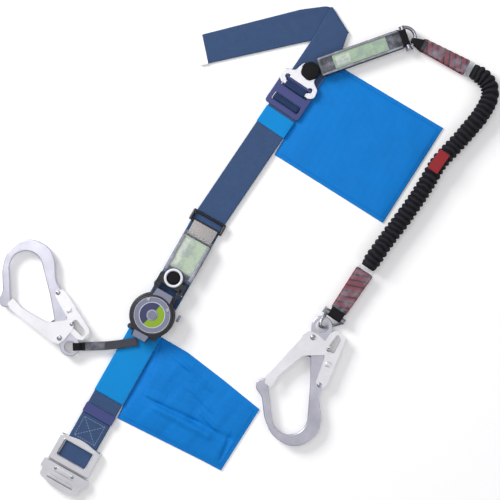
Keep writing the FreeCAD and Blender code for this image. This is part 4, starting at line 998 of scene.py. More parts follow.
@dataclass
class Assembly:
    """What every sub-assembly shares: the finishes and the CAD nodes."""

    finishes: dict[str, Material]
    nodes: dict[str, Piece]

    def coat(self, made: Piece, finish: str) -> None:
        """Give an object one finish."""
        made.data.materials.clear()
        made.data.materials.append(self.finishes[finish])

    def dress(self, finish: str, *names: str) -> None:
        """Give CAD nodes a finish."""
        for name in names:
            self.coat(self.nodes[name], finish)

    def finish(self, made: Piece, finish: str, body: Optional[str], slot: str,
               *nodes: str) -> None:
        """Give a new piece its finish and its place in the assembly.

        Args:
            made: the piece.
            finish: name of its finish.
            body: the CAD body it rides on, or None if it bends between two.
            slot: a material slot's name; not used.
            nodes: CAD nodes it stands for.
        """
        self.coat(made, finish)
        if body:
            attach(made, body)
        if nodes:
            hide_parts(*nodes)
        LOG.info("built %s with %s", made.name, finish)

    def cloth_tube(self, name: str, place: Place, half: float, low: float, high: float,
                   start: float, end: float, thick: float, seed: int) -> Piece:
        """Cloth sewn into a flat tube round the belt.

        Args:
            name: name of the piece.
            place: the belt's place.
            half: half the outer width.
            low: lowest z.
            high: highest z.
            start: where it begins along the belt.
            end: where it ends.
            thick: thickness of the cloth.
            seed: chooses its wrinkles.

        Returns:
            A superellipse outline of power 9 carried along the belt, outside and inside, joined at
            both ends; the outside has small waves.
        """
        sides, power = 72, 9
        turn = np.arange(sides) * TAU / sides
        rows = np.linspace(start, end, 60)
        cosine, sine = np.cos(turn), np.sin(turn)
        x = np.sign(cosine) * np.abs(cosine) ** (2 / power)
        z = np.sign(sine) * np.abs(sine) ** (2 / power)
        middle, tall = (low + high) / 2, (high - low) / 2
        lift = 0.55 * waves(rows[:, None], x[None] * half * 0.8, seed, 46.0)
        layers = []
        for inset, wrinkle, order in ((0.0, lift, rows), (thick, np.zeros_like(lift), rows[::-1])):
            across = np.broadcast_to(x[None] * (half - inset), lift.shape)
            height = middle + z[None] * (tall - inset) + wrinkle * (z[None] > 0.2)
            along = np.broadcast_to(order[:, None], lift.shape)
            layers.append(np.stack([across, along, height], axis=-1))
        grid = np.concatenate(layers)
        count = grid.shape[0] * grid.shape[1]
        faces = grid_faces(grid.shape[0] + 1, sides, True) % count
        uv = grid_uv(grid.shape[0] + 1, sides, True, 2 * (end - start) * MM, 4 * half * MM)
        made = make_object(name, place.metres(grid).reshape(-1, 3), faces, uv)
        outwards(made)
        return made


@dataclass
class WaistBelt(Assembly):
    """The belt webbing: the long run, its fold and tail, the doubled end and where it is laced."""

    half: float = 25.0
    thick: float = 2.2
    run_height: float = 4.5
    tail_height: float = 1.95
    low_end: float = -452.0
    doubled: Pair = (-452.0, -368.0)
    inset: float = 0.6
    sewn: tuple[float, float, float, float] = (-18.5, 18.5, -407.0, -373.0)
    fold: tuple[Pair, Pair] = ((154.0, 397.0), (180.5, 355.3))
    tail_top: Line = ((146.0, 399.0), (104.4, 393.6), (-57.0, 352.6))
    tail_low: Line = ((124.0, 344.7), (-48.0, 306.5))

    def build(self) -> None:
        """Make every stretch of webbing and dress the metal cap."""
        self.run_and_tail()
        self.doubled_end()
        self.lacing()
        self.dress("satin_metal", "belt_tip_cap")

    def run_and_tail(self) -> None:
        """One band: the run, a half round turn of 1.3 mm at the fold, and the tail under it."""
        bend = TABLE.then(-47.0, 48.0, (LOWER_BELT.angle + UPPER_BELT.angle) / 2)

        def edge(side: float, top: float, fold: Pair) -> Array:
            spots = [(LOWER_BELT, side * self.half, self.low_end), (bend, side * self.half, 0.0),
                     (UPPER_BELT, side * self.half, top), (TABLE, *fold)]
            return np.array([place.metres(np.array([x, y, 0.0])) / MM for place, x, y in spots])

        left = rounded(edge(-1.0, 342.0, self.fold[0]), 190, 0.02)
        right = rounded(edge(1.0, 350.0, self.fold[1]), 190, 0.02)
        left[:, 2] = right[:, 2] = self.run_height
        centre = (self.run_height + self.tail_height) / 2
        radius = (self.run_height - self.tail_height) / 2
        line = right[-1] - left[-1]
        out = np.array([-line[1], line[0], 0.0]) / np.linalg.norm(line[:2])
        turn = np.linspace(0.0, math.pi, 11)[1:-1, None]
        rise = np.array([0.0, 0.0, 1.0])
        bulge = out * radius * np.sin(turn) + rise * (centre - self.run_height + radius * np.cos(turn))
        shift = np.array([TABLE.x, TABLE.y, 0.0])
        tails = []
        for start, points in ((self.fold[0], self.tail_top), (self.fold[1], self.tail_low)):
            plan = rounded([start, *points], 90, 0.02)
            tails.append(np.column_stack([plan, np.full(90, self.tail_height)]) + shift)
        left = np.concatenate([left, left[-1] + bulge, tails[0]])
        right = np.concatenate([right, right[-1] + bulge, tails[1]])
        made = band("belt_webbing", left, right, self.thick, Place(0.0, 0.0), 34, 0.0, 3, 0.3)
        self.finish(made, "navy_webbing", "root", "navy_webbing", "waist_belt")

    def doubled_end(self) -> None:
        """Second layer at the buckle, sewn down with a box and a cross."""
        low, high = self.doubled
        rows = np.linspace(low, high, 60)
        height = np.full(60, self.run_height + self.thick)
        left = np.column_stack([np.full(60, self.inset - self.half), rows, height])
        right = left * [-1.0, 1.0, 1.0]
        made = band("doubled_webbing", left, right, self.thick, LOWER_BELT, 30, 0.0, 5, 0.04)
        self.finish(made, "navy_webbing", "root", "navy_webbing")
        x0, x1, y0, y1 = self.sewn
        box = [(x0, y0), (x1, y0), (x1, y1), (x0, y1), (x0, y0)]
        rows_of_thread = [box, [(x0, y0), (x1, y1)], [(x1, y0), (x0, y1)]]
        face = self.run_height + 1.5 * self.thick - 0.12
        made = stitches("box_stitching", rows_of_thread, LOWER_BELT, face, 3.0, 1.2, 0.55)
        self.finish(made, "pale_thread", "root", "navy_webbing")

    def lacing(self) -> None:
        """Webbing that shows in the adjuster's lower slot and over the hanger plate's bar."""
        along = UPPER_BELT.then(0.0, 0.0, 90.0)
        arch = [(227.2, 6.2), (228.6, 8.9), (234.4, 8.9), (235.8, 6.2)]
        made = side_band("adjuster_lacing", arch, 23.0, self.thick, along, 40, 0.2, 2.6)
        self.finish(made, "roll_webbing", "root", "navy_webbing")
        over = [(254.6, 6.4), (254.6, 13.4), (264.45, 13.4), (264.45, 6.4)]
        made = side_band("hanger_bar_roll", over, 18.0, self.thick, along, 70, 0.1, 3.0)
        self.finish(made, "roll_webbing", "root", "navy_webbing")


@dataclass
class Buckle(Assembly):
    """Buckle, keeper and adjuster: CAD shapes with their finishes, and domed rivet heads."""

    rivets: Pair = (-17.9, 12.6)
    rivet_line: float = -468.5
    rivet_top: float = 12.8
    plate_top: float = 12.0
    middle: float = -1.3
    window: tuple[float, float, float, float] = (-28.9, 24.5, -448.6, -419.4)

    def build(self) -> None:
        """Dress the hard parts and dome the rivets."""
        self.dress("satin_metal", "buckle_base", "buckle_cover", "buckle_lever")
        self.dress("bright_steel", "buckle_hinge_pin", "buckle_rivets")
        self.dress("navy_plastic", "belt_keeper", "slide_adjuster_plate")
        for number, x in enumerate(self.rivets, start=1):
            z = self.rivet_top
            profile = [(0.0, z), (2.4, z), (2.3, z + 0.35), (1.6, z + 0.75), (0.7, z + 0.95),
                       (0.0, z + 1.0)]
            made = lathe(f"buckle_rivet_dome_{number}", LOWER_BELT, profile, 24, None,
                         (x, self.rivet_line))
            self.finish(made, "bright_steel", "buckle_lever", "bright_steel")
        self.grip()
        self.cover_rim()

    def grip(self) -> None:
        """Finger grip of the lever: a rivet bridge, a ridged strip and, behind it, a thin dark strip
        that is painted shade in the groove.
        """
        bridge = self.slab("lever_bridge", 17.5, -5.2, 3.4, 0.5, 0.0)
        ridges = self.slab("lever_ridges", 22.5, -17.2, -12.6, 1.0, 5.2)
        for made in (bridge, ridges):
            self.finish(made, "satin_metal", "buckle_lever", "satin_metal")
        # lever_step is a thin dark strip: painted shade of the groove below the ridges
        step = self.slab("lever_step", 23.0, -19.0, -17.6, 0.25, 0.0)
        self.finish(step, "brown_steel", "buckle_lever", "satin_metal")

    def slab(self, name: str, half: float, low: float, high: float, tall: float,
             pitch: float) -> Piece:
        """Low raised plate on the lever.

        Args:
            name: name of the piece.
            half: half its width.
            low: its lower edge, measured from the line of the rivets.
            high: its upper edge, measured the same way.
            tall: how far it stands up.
            pitch: spacing of its ridges, 0 for none.

        Returns:
            A slab with rolled edges; where it has ridges, its height follows the size of a sine.
        """
        low, high = self.rivet_line + low, self.rivet_line + high
        x, y = np.meshgrid(np.linspace(self.middle - half, self.middle + half, 160),
                           np.linspace(low, high, 24))
        u, v = (x - self.middle) / half, (2 * y - low - high) / (high - low)
        lift = tall * (1 - np.abs(u) ** 20) * (1 - np.abs(v) ** 8)
        if pitch:
            lift = lift * (0.45 + 0.55 * np.abs(np.sin((x - self.middle) * math.pi / pitch)))
        top = np.stack([x, y, self.plate_top + 0.05 + lift], axis=-1)
        under = np.stack([x, y, np.full_like(x, self.plate_top - 0.1)], axis=-1)
        return shell(name, LOWER_BELT.metres(top), LOWER_BELT.metres(under))

    def cover_rim(self) -> None:
        """Rolled bead round the window of the cover."""
        x0, x1, y0, y1 = self.window
        corners = [(x0, y0), (x1, y0), (x1, y1), (x0, y1), (x0, y0)]
        plan = rounded(corners, 200, 0.03)
        line = LOWER_BELT.metres(np.column_stack([plan, np.full(200, self.plate_top + 0.1)]))
        made = tube("buckle_window_bead", line, np.full((200, 10), 0.8 * MM))
        self.finish(made, "satin_metal", "root", "satin_metal")


@dataclass
class Pouches(Assembly):
    """The two cloth pouches: a sleeve round the belt each and a soft flat bag beside it."""

    side: float = 26.6
    sleeve_z: Pair = (1.8, 7.2)
    thick: float = 1.3
    flap_side: tuple[Pair, Pair] = ((30.0, -207.0), (51.0, -296.0))
    flap_end: float = -295.5
    creases: tuple[tuple[Pair, Pair, float, float], ...] = (
        ((77.6, -297.0), (139.5, -293.0), 4.0, -3.0), ((139.5, -293.0), (205.0, -291.0), 5.5, -2.8),
        ((80.0, -305.0), (170.0, -302.0), 6.5, 3.0), ((58.0, -217.0), (84.0, -221.6), 3.0, 1.8),
        ((84.0, -221.6), (133.4, -233.7), 3.5, 2.0), ((143.9, -275.9), (173.7, -285.8), 3.0, 2.4),
        ((208.5, -321.9), (204.7, -290.9), 4.0, -2.6), ((112.0, -250.0), (150.0, -262.0), 4.0, 1.9))

    def build(self) -> None:
        """Make the lower and the upper pouch."""
        self.lower()
        self.upper()

    @staticmethod
    def beside(x: Array, y: Array, start: Pair,
               end: Pair) -> Array:
        """Signed distance from the line through two points, positive on its +X side."""
        long = math.hypot(end[0] - start[0], end[1] - start[1])
        return ((x - start[0]) * (start[1] - end[1]) + (y - start[1]) * (end[0] - start[0])) / long

    def ridge(self, x: Array, y: Array, start: Pair,
              end: Pair, wide: float) -> Array:
        """Height of a rounded ridge between two points.

        Args:
            x: plan x.
            y: plan y.
            start: where the ridge begins.
            end: where it ends.
            wide: its half width in millimetres.

        Returns:
            A bell curve of the distance from the line, faded over 9 mm past either end.
        """
        run = np.subtract(end, start)
        long = float(np.linalg.norm(run))
        along = ((x - start[0]) * run[0] + (y - start[1]) * run[1]) / long
        past = np.maximum(np.maximum(-along, along - long), 0.0)
        return np.exp(-((self.beside(x, y, start, end) / wide) ** 2) - (past / 9.0) ** 2)

    def bag(self, name: str, plan: Array, place: Place, seed: int, puff: float,
            folds: Callable[[Array, Array], Array], slack: float = 0.75) -> Piece:
        """Two layers of cloth sewn at the rim.

        Args:
            name: name of the piece.
            plan: rows by columns by 2, in the place's millimetres.
            place: where it lies.
            seed: chooses the wrinkles.
            puff: how far the middle rises.
            folds: extra height for plan x and y.
            slack: height of the slow waves.

        Returns:
            The top is a quartic crown plus waves and folds, the underside is flat on the table.
        """
        rows, columns = plan.shape[:2]
        v = np.linspace(-1, 1, rows)[:, None]
        u = np.linspace(-1, 1, columns)[None]
        rim = (1 - np.abs(u) ** 14) * (1 - np.abs(v) ** 14)
        x, y = plan[..., 0], plan[..., 1]
        crown = puff * (1 - u**4) * (1 - v**4)
        wrinkle = slack * waves(x, y * 0.8, seed, 62.0, 4) + 0.35 * waves(x * 0.4, y, seed + 5, 17.0, 2)
        high = 1.5 + rim * (1.0 + crown + wrinkle + folds(x, y))
        top = np.stack([x, y, np.maximum(high, 0.8)], axis=-1)
        low = np.stack([x, y, np.full_like(x, 0.15)], axis=-1)
        return shell(name, place.metres(top), place.metres(low))

    def lower(self) -> None:
        """Lower pouch: lighter sleeve, bag with a flap line across it and a stitched hem."""
        made = self.cloth_tube("lower_sleeve_cloth", LOWER_BELT, self.side, *self.sleeve_z,
                               -327.5, -201.0, self.thick, 11)
        self.finish(made, "light_blue_cloth", "root", "blue_cloth", "lower_pouch_sleeve")
        bottom = [(29.0, -350.5), (183.0, -342.5), (217.5, -341.5)]
        top = [(27.0, -201.0), (76.0, -201.5), (147.0, -211.5), (223.0, -224.5)]
        left = [(29.0, -350.5), (27.2, -327.5), (27.0, -201.0)]
        plan = coons(bottom, top, left, [(217.5, -341.5), (223.0, -224.5)], 130, 190)

        def folds(x: Array, y: Array) -> Array:
            over = 1 / (1 + np.exp(-self.beside(x, y, *self.flap_side) / 0.6))
            over = over / (1 + np.exp(-(y - self.flap_end) / 0.8))
            total = 3.0 * over * np.clip((130.0 - x) / 60.0, 0.0, 1.0)
            for start, end, wide, tall in self.creases:
                total = total + tall * self.ridge(x, y, start, end, wide)
            return total

        made = self.bag("lower_pouch_cloth", plan, LOWER_BELT, 21, 4.0, folds, 1.9)
        self.finish(made, "blue_cloth", "root", "blue_cloth", "lower_pouch_panel")
        hem = [[(35.0, -343.5), (183.0, -336.5), (211.5, -335.5)], [(211.5, -335.5), (216.5, -231.0)],
               [(216.5, -231.0), (147.0, -217.5), (76.0, -207.5), (34.0, -207.0)]]
        made = stitches("lower_pouch_stitching", hem, LOWER_BELT, 2.9, 2.6, 1.4, 0.6)
        self.finish(made, "blue_thread", "root", "blue_cloth")

    def upper(self) -> None:
        """Upper pouch: a short sleeve and a smooth flat bag."""
        made = self.cloth_tube("upper_sleeve_cloth", UPPER_BELT, self.side, *self.sleeve_z,
                               181.5, 212.0, self.thick, 12)
        self.finish(made, "light_blue_cloth", "root", "blue_cloth")
        bottom = [(29.0, 152.0), (236.5, 158.5)]
        top = [(26.4, 329.5), (232.0, 341.0)]
        left = [(29.0, 152.0), (27.0, 181.5), (26.4, 212.0), (26.4, 329.5)]
        plan = coons(bottom, top, left, [(236.5, 158.5), (232.0, 341.0)], 140, 160)
        made = self.bag("upper_pouch_cloth", plan, UPPER_BELT, 31, 1.2, lambda x, y: np.zeros_like(x))
        self.finish(made, "blue_cloth", "root", "blue_cloth", "upper_pouch")
        hem = [[(36.0, 158.0), (230.5, 164.5)], [(230.5, 164.5), (226.5, 334.5)],
               [(226.5, 334.5), (43.0, 323.5)]]
        made = stitches("upper_pouch_stitching", hem, UPPER_BELT, 2.9, 2.6, 1.4, 0.6)
        self.finish(made, "blue_thread", "root", "blue_cloth")


@dataclass
class HangerPlate(Assembly):
    """Steel hanger plate and the black loop sewn through its neck."""

    loop: Pair = (119.5, 292.5)
    radius: float = 15.2
    sewn: Pair = (11.3, 7.0)

    def build(self) -> None:
        """Dress the plate and make the loop: a six lobed puck whose top is sewn layers."""
        self.dress("satin_metal", "hanger_plate")
        place = TABLE.then(*self.loop, UPPER_PACK.angle)
        r = self.radius
        profile = [(0.0, 6.0), (r - 2.0, 6.0), (r, 7.6), (r, 11.0), (r - 0.5, 11.5), (r, 12.0),
                   (r, 15.6), (r - 0.9, 17.4), (r - 3.0, 18.3), (r - 5.0, 18.0), (r - 6.0, 18.4),
                   (0.0, 18.5)]
        made = lathe("hanger_loop_webbing", place, profile, 72,
                     lambda t: 0.975 + 0.025 * np.cos(6 * t + 0.4))
        self.finish(made, "black_webbing", "root", "black_webbing", "hanger_loop")
        turn = np.linspace(0, TAU, 40)
        ring = np.column_stack([np.cos(turn), np.sin(turn)])
        rings = [radius * ring for radius in self.sewn]
        made = stitches("hanger_loop_stitching", rings, place, 18.3, 2.2, 1.0, 0.6)
        self.finish(made, "black_webbing", "root", "black_webbing")


@dataclass
class AbsorberUnit(Assembly):
    """Ring, connector, clear covered absorber and the yoke that holds the reel."""

    eyelet: Pair = (-2.9, -106.0)
    yoke_top: float = 25.0
    packed: tuple[float, float, float, float] = (-22.0, 23.4, -88.0, -35.0)
    packed_z: Pair = (9.1, 18.9)
    packed_pitch: float = 5.2

    def build(self) -> None:
        """Dress the hard parts and make the folded absorber and the eyelet."""
        self.dress("black_steel", "belt_ring", "reel_yoke")
        self.dress("brown_steel", "ring_connector")
        self.dress("bright_steel", "reel_tilt_pins")
        self.dress("clear_sleeve", "absorber_cover")
        self.dress("reel_label", "absorber_label")
        x0, x1, y0, y1 = self.packed
        x, y = np.meshgrid(np.linspace(x0, x1, 60), np.linspace(y0, y1, 90))
        ridge = 0.45 * np.sin(y * TAU / self.packed_pitch) + 0.15 * waves(x, y, 4, 20.0)
        top = np.stack([x, y, self.packed_z[1] + ridge], axis=-1)
        low = np.stack([x, y, np.full_like(x, self.packed_z[0])], axis=-1)
        made = shell("absorber_folds", LOWER_BELT.metres(top), LOWER_BELT.metres(low))
        self.finish(made, "black_folds", "absorber_unit", "black_webbing", "absorber_webbing")
        # raised strips along the cover's edges: the film's edge, given a painted highlight
        for number, side in enumerate((-1.0, 1.0), start=1):
            x, y = np.meshgrid(np.linspace(19.6, 25.0, 14) * side, np.linspace(-99.0, -36.0, 60))
            crown = 0.5 * (1 - ((np.abs(x) - 22.3) / 2.7) ** 2) + 0.15 * waves(x, y, 9, 14.0)
            top = np.stack([x, y, 22.35 + crown], axis=-1)
            low = top - [0.0, 0.0, 0.7]
            made = shell(f"cover_weld_{number}", LOWER_BELT.metres(top), LOWER_BELT.metres(low))
            self.finish(made, "sleeve_edge", "absorber_unit", "clear_sleeve")
        t = np.linspace(0, TAU, 15)[:-1]
        outline = np.stack([13.4 + 2.1 * np.cos(t), self.yoke_top + 0.3 + 1.5 * np.sin(t)], axis=1)
        made = ring_profile("eyelet_ring", LOWER_BELT, outline, 64, self.eyelet)
        self.finish(made, "white_plastic", "absorber_unit", "lavender_plastic")
        profile = [(0.0, 22.7), (10.2, 22.7), (10.3, 23.6), (8.0, 24.3), (3.0, 24.6), (0.0, 24.6)]
        made = lathe("eyelet_webbing", LOWER_BELT, profile, 40, None, self.eyelet)
        self.finish(made, "black_webbing", "absorber_unit", "black_webbing")


@dataclass
class Reel(Assembly):
    """Retracting reel with its rim, face, strap, clear strap sleeve and end loop."""

    route: Line = (
        (-0.1617, -0.14765, 0.0112), (-0.1723, -0.14895, 0.0112), (-0.1903, -0.15195, 0.0112),
        (-0.2113, -0.15425, 0.0112), (-0.2313, -0.15495, 0.0112), (-0.2498, -0.15545, 0.0112))
    strap_half: float = 6.4
    strap_thick: float = 2.1
    plane: float = 11.2
    # (name, finish, radius, width, z, height); the thin white rings paint highlights on the rim's edges
    # and in its groove
    rims: tuple[tuple[str, str, float, float, float, float], ...] = (
        ("reel_face_edge", "dark_plastic", 31.0, 1.7, 33.2, 0.6),
        ("reel_face_line", "white_plastic", 28.9, 0.3, 33.2, 0.3),
        ("reel_outer_bead", "dark_plastic", 34.0, 2.8, 30.0, 1.2),
        ("reel_groove", "white_plastic", 30.6, 0.4, 30.15, 0.6),
        ("reel_inner_bead", "white_plastic", 20.6, 0.45, 33.15, 0.35),
        ("button_bead", "white_plastic", 7.6, 0.35, 33.2, 0.3))
    turns: int = 16
    turn_pitch: float = 1.36

    def build(self) -> None:
        """Make the strap first, then the loops and the rings of the rim; the thin white rings are
        painted highlights on its rounded edges.
        """
        self.strap()
        self.end_loop()
        self.dress("smoke_plastic", "reel_case")
        self.dress("lavender_plastic", "reel_face_cover", "reel_nozzle_plate", "reel_axle",
                   "reel_spool", "reel_lock_tab")
        self.dress("face_ring", "reel_face_ring")
        self.dress("bright_steel", "reel_screws")
        self.dress("spring_steel", "power_spring")
        self.dress("clear_sleeve", "strap_sleeve")
        for name, finish, radius, wide, z, tall in self.rims:
            t = np.linspace(0, TAU, 13)[:-1]
            outline = np.stack([radius + wide * np.cos(t), z + tall * np.sin(t)], axis=1)
            made = ring_profile(name, REEL, outline, 96)
            self.finish(made, finish, "reel", "lavender_plastic")
        turns = [(7.3, 12.1)]
        for k in range(self.turns):
            radius = 7.8 + k * self.turn_pitch
            turns += [(radius, 25.2), (radius + self.turn_pitch / 2, 24.4)]
        turns += [(28.9, 25.0), (28.9, 12.1)]
        made = ring_profile("wound_strap_turns", REEL, turns, 72)
        self.finish(made, "grey_strap", "spool", "grey_strap", "wound_strap")

    def strap(self) -> None:
        """The strap follows a spline through the route."""
        line = spline_line("reel_strap_line", self.route)
        run = np.gradient(line, axis=0)
        run /= np.linalg.norm(run, axis=1, keepdims=True)
        side = np.cross([0.0, 0.0, 1.0], run) * self.strap_half * MM
        made = band("reel_strap_webbing", (line + side) / MM, (line - side) / MM,
                    self.strap_thick, Place(0.0, 0.0), 16)
        self.finish(made, "grey_strap", None, "grey_strap", "reel_strap")
        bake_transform(made)

    def end_loop(self) -> None:
        """Black loop that leaves the clear sleeve, opens and goes round the hook's eye."""
        z = self.plane
        upper = [(33.0, 2.2), (38.5, 2.8), (41.5, 6.5), (50.6, 6.5), (51.9, 4.5)]
        path = [(x, z + rise) for x, rise in upper] + [(x, z - rise) for x, rise in reversed(upper)]
        made = side_band("strap_end_webbing", path, 5.8, 1.5, STRAP, 110, 0.08)
        self.finish(made, "black_webbing", "strap_end", "black_webbing", "strap_end_loop")


def spline_line(name: str, route: Line) -> Array:
    """Points of the smooth curve that a route's points control.

    Args:
        name: name for the curve while it exists.
        route: control points in metres.

    Returns:
        The points of an order 3 NURBS spline that starts and ends at the route's ends.
    """
    curve = bpy.data.curves.new(name, "CURVE")
    curve.dimensions = "3D"
    curve.resolution_u = 24
    spline = curve.splines.new("NURBS")
    spline.points.add(len(route) - 1)
    controls = np.column_stack([np.asarray(route, float), np.ones(len(route))])
    spline.points.foreach_set("co", controls.ravel())
    spline.order_u = 3
    spline.use_endpoint_u = True
    holder = bpy.data.objects.new(name, curve)
    mesh = bpy.data.meshes.new_from_object(holder)
    line = np.zeros(len(mesh.vertices) * 3)
    mesh.vertices.foreach_get("co", line)
    bpy.data.meshes.remove(mesh)
    bpy.data.objects.remove(holder)
    bpy.data.curves.remove(curve)
    return line.reshape(-1, 3)


def dome(radius: float, z: float, tall: float) -> list[Pair]:
    """Profile of a low domed head: an ellipse quarter of that radius and height above z."""
    turn = np.linspace(0.0, math.pi / 2, 7)
    side = [(radius * math.cos(t), z + tall * math.sin(t)) for t in turn[:-1]]
    return [(0.0, z), *side, (0.0, z + tall)]


@dataclass
class Hook(Assembly):
    """Large locking hook: body, gate and lock lever, with domed rivets on its pins."""

    side: str = "right"
    place: Place = RIGHT_HOOK
    gate_pivot: Pair = (-15.0, -17.9)
    link_pin: Pair = (9.8, -37.8)
    lever_pivot: Pair = (-4.6, -94.9)
    lever_bump: Pair = (9.2, -62.0)
    lever_run: Pair = (0.278, 0.960)
    spring_end: Pair = (-19.5, -49.0)

    def build(self) -> None:
        """Dress the CAD shapes and put a dome on every rivet."""
        side = self.side
        self.dress("hook_alloy", f"{side}_hook_body")
        self.dress("gate_steel", f"{side}_hook_gate", f"{side}_hook_lock_lever")
        self.dress("bright_steel", f"{side}_hook_pivot_rivets", f"{side}_hook_link_pin")
        heads = (("gate_dome", self.gate_pivot, 4.6, 20.85, f"{side}_hook"),
                 ("link_dome", self.link_pin, 2.6, 20.85, f"{side}_gate"),
                 ("lever_dome", self.lever_pivot, 3.9, 19.05, f"{side}_hook"))
        for name, centre, radius, z, body in heads:
            made = lathe(f"{side}_{name}", self.place, dome(radius, z - 0.05, 0.9), 32, None, centre)
            self.finish(made, "bright_steel", body, "bright_steel")
        made = self.pressed(f"{side}_lever_step", self.lever_bump, (4.6, 4.2), 17.95, 0.9)
        self.finish(made, "gate_steel", f"{side}_lock_lever", "gate_steel")
        made = self.pressed(f"{side}_spring_end", self.spring_end, (5.6, 1.1), 11.6, 0.8)
        self.finish(made, "black_steel", f"{side}_hook", "spring_steel")

    def pressed(self, name: str, centre: Pair, half: Pair,
                z: float, tall: float) -> Piece:
        """Low pillow raised on a plate.

        Args:
            name: name of the piece.
            centre: its middle in the hook's own millimetres.
            half: half its size across and along the lever's run.
            z: height of the plate's face.
            tall: how far it stands up.

        Returns:
            A slab whose top is a product of two falling curves, square to the lever's run.
        """
        step = np.linspace(-1, 1, 22)
        u, v = np.meshgrid(step, step)
        across, along = u * half[0], v * half[1]
        x = centre[0] + across * self.lever_run[1] + along * self.lever_run[0]
        y = centre[1] - across * self.lever_run[0] + along * self.lever_run[1]
        top = np.stack([x, y, z + 0.08 + tall * (1 - u**6) * (1 - v**2)], axis=-1)
        low = np.stack([x, y, np.full_like(x, z - 0.2)], axis=-1)
        return shell(name, self.place.metres(top), self.place.metres(low))


@dataclass
class FoldedPack(Assembly):
    """Tear webbing packed in slanting folds inside a clear sleeve."""

    low: float = 7.8
    pitch: float = 10.5
    slant: float = 0.45

    def folds(self, name: str, place: Place, start: float, end: float,
              half: Pair, high: float) -> Piece:
        """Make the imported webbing.

        Args:
            name: name of the piece.
            place: where it lies.
            start: where it begins along the pack.
            end: where it ends.
            half: half the width at the start and at the end.
            high: height of its top.

        Returns:
            A slab whose top is a sine of the slanted distance, flattened at its sides.
        """
        along = np.linspace(start, end, 150)[:, None]
        share = np.linspace(-1.0, 1.0, 44)[None]
        across = share * np.interp(along, [start, end], half)
        x = np.broadcast_to(along, across.shape)
        rim = 1 - np.abs(share) ** 8
        ridge = 0.5 * np.sin((along - start + self.slant * across) * TAU / self.pitch)
        ridge = ridge + 0.2 * waves(x, across, 7, 16.0)
        top = np.stack([x, across, high - 0.6 + rim * (ridge + 0.1)], axis=-1)
        low = np.stack([x, across, np.full_like(across, self.low)], axis=-1)
        return shell(name, place.metres(top), place.metres(low))


@dataclass
class UpperPack(FoldedPack):
    """Absorber that hangs from the hanger plate's loop: clear sleeve, label, shackle and end loop."""

    slant: float = 0.0
    pitch: float = 21.0

    def build(self) -> None:
        """Dress the CAD shapes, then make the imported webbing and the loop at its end."""
        self.dress("clear_sleeve", "upper_absorber_sleeve")
        self.dress("pack_label", "upper_absorber_label")
        self.dress("bright_steel", "upper_shackle_bow", "upper_shackle_bolt")
        made = self.folds("upper_pack_webbing", UPPER_PACK, 1.0, 139.0, (13.7, 13.7), 17.2)
        self.finish(made, "black_folds", "upper_absorber", "black_webbing", "upper_absorber_webbing")
        _low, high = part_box("upper_absorber_sleeve")
        # raised strips along the sleeve's edges: the film's edge, given a painted highlight
        for number, side in enumerate((-1.0, 1.0), start=1):
            x, y = np.meshgrid(np.linspace(12.0, 14.8, 10) * side, np.linspace(2.0, 137.0, 110))
            crown = 0.3 * (1 - ((np.abs(x) - 13.4) / 1.4) ** 2)
            top = np.stack([y, x, high[2] / MM + 0.15 + crown], axis=-1)
            low = top - [0.0, 0.0, 0.6]
            made = shell(f"pack_weld_{number}", UPPER_PACK.metres(top), UPPER_PACK.metres(low))
            self.finish(made, "sleeve_edge", "upper_absorber", "clear_sleeve")
        path = [(132.0, 17.5), (143.0, 17.6), (149.5, 16.4), (151.0, 13.0), (149.5, 9.6),
                (143.0, 8.4), (132.0, 8.5)]
        made = side_band("upper_pack_loop", path, 12.2, 1.8, UPPER_PACK, 70, 0.06)
        self.finish(made, "black_webbing", "upper_absorber", "black_webbing", "upper_end_loop")


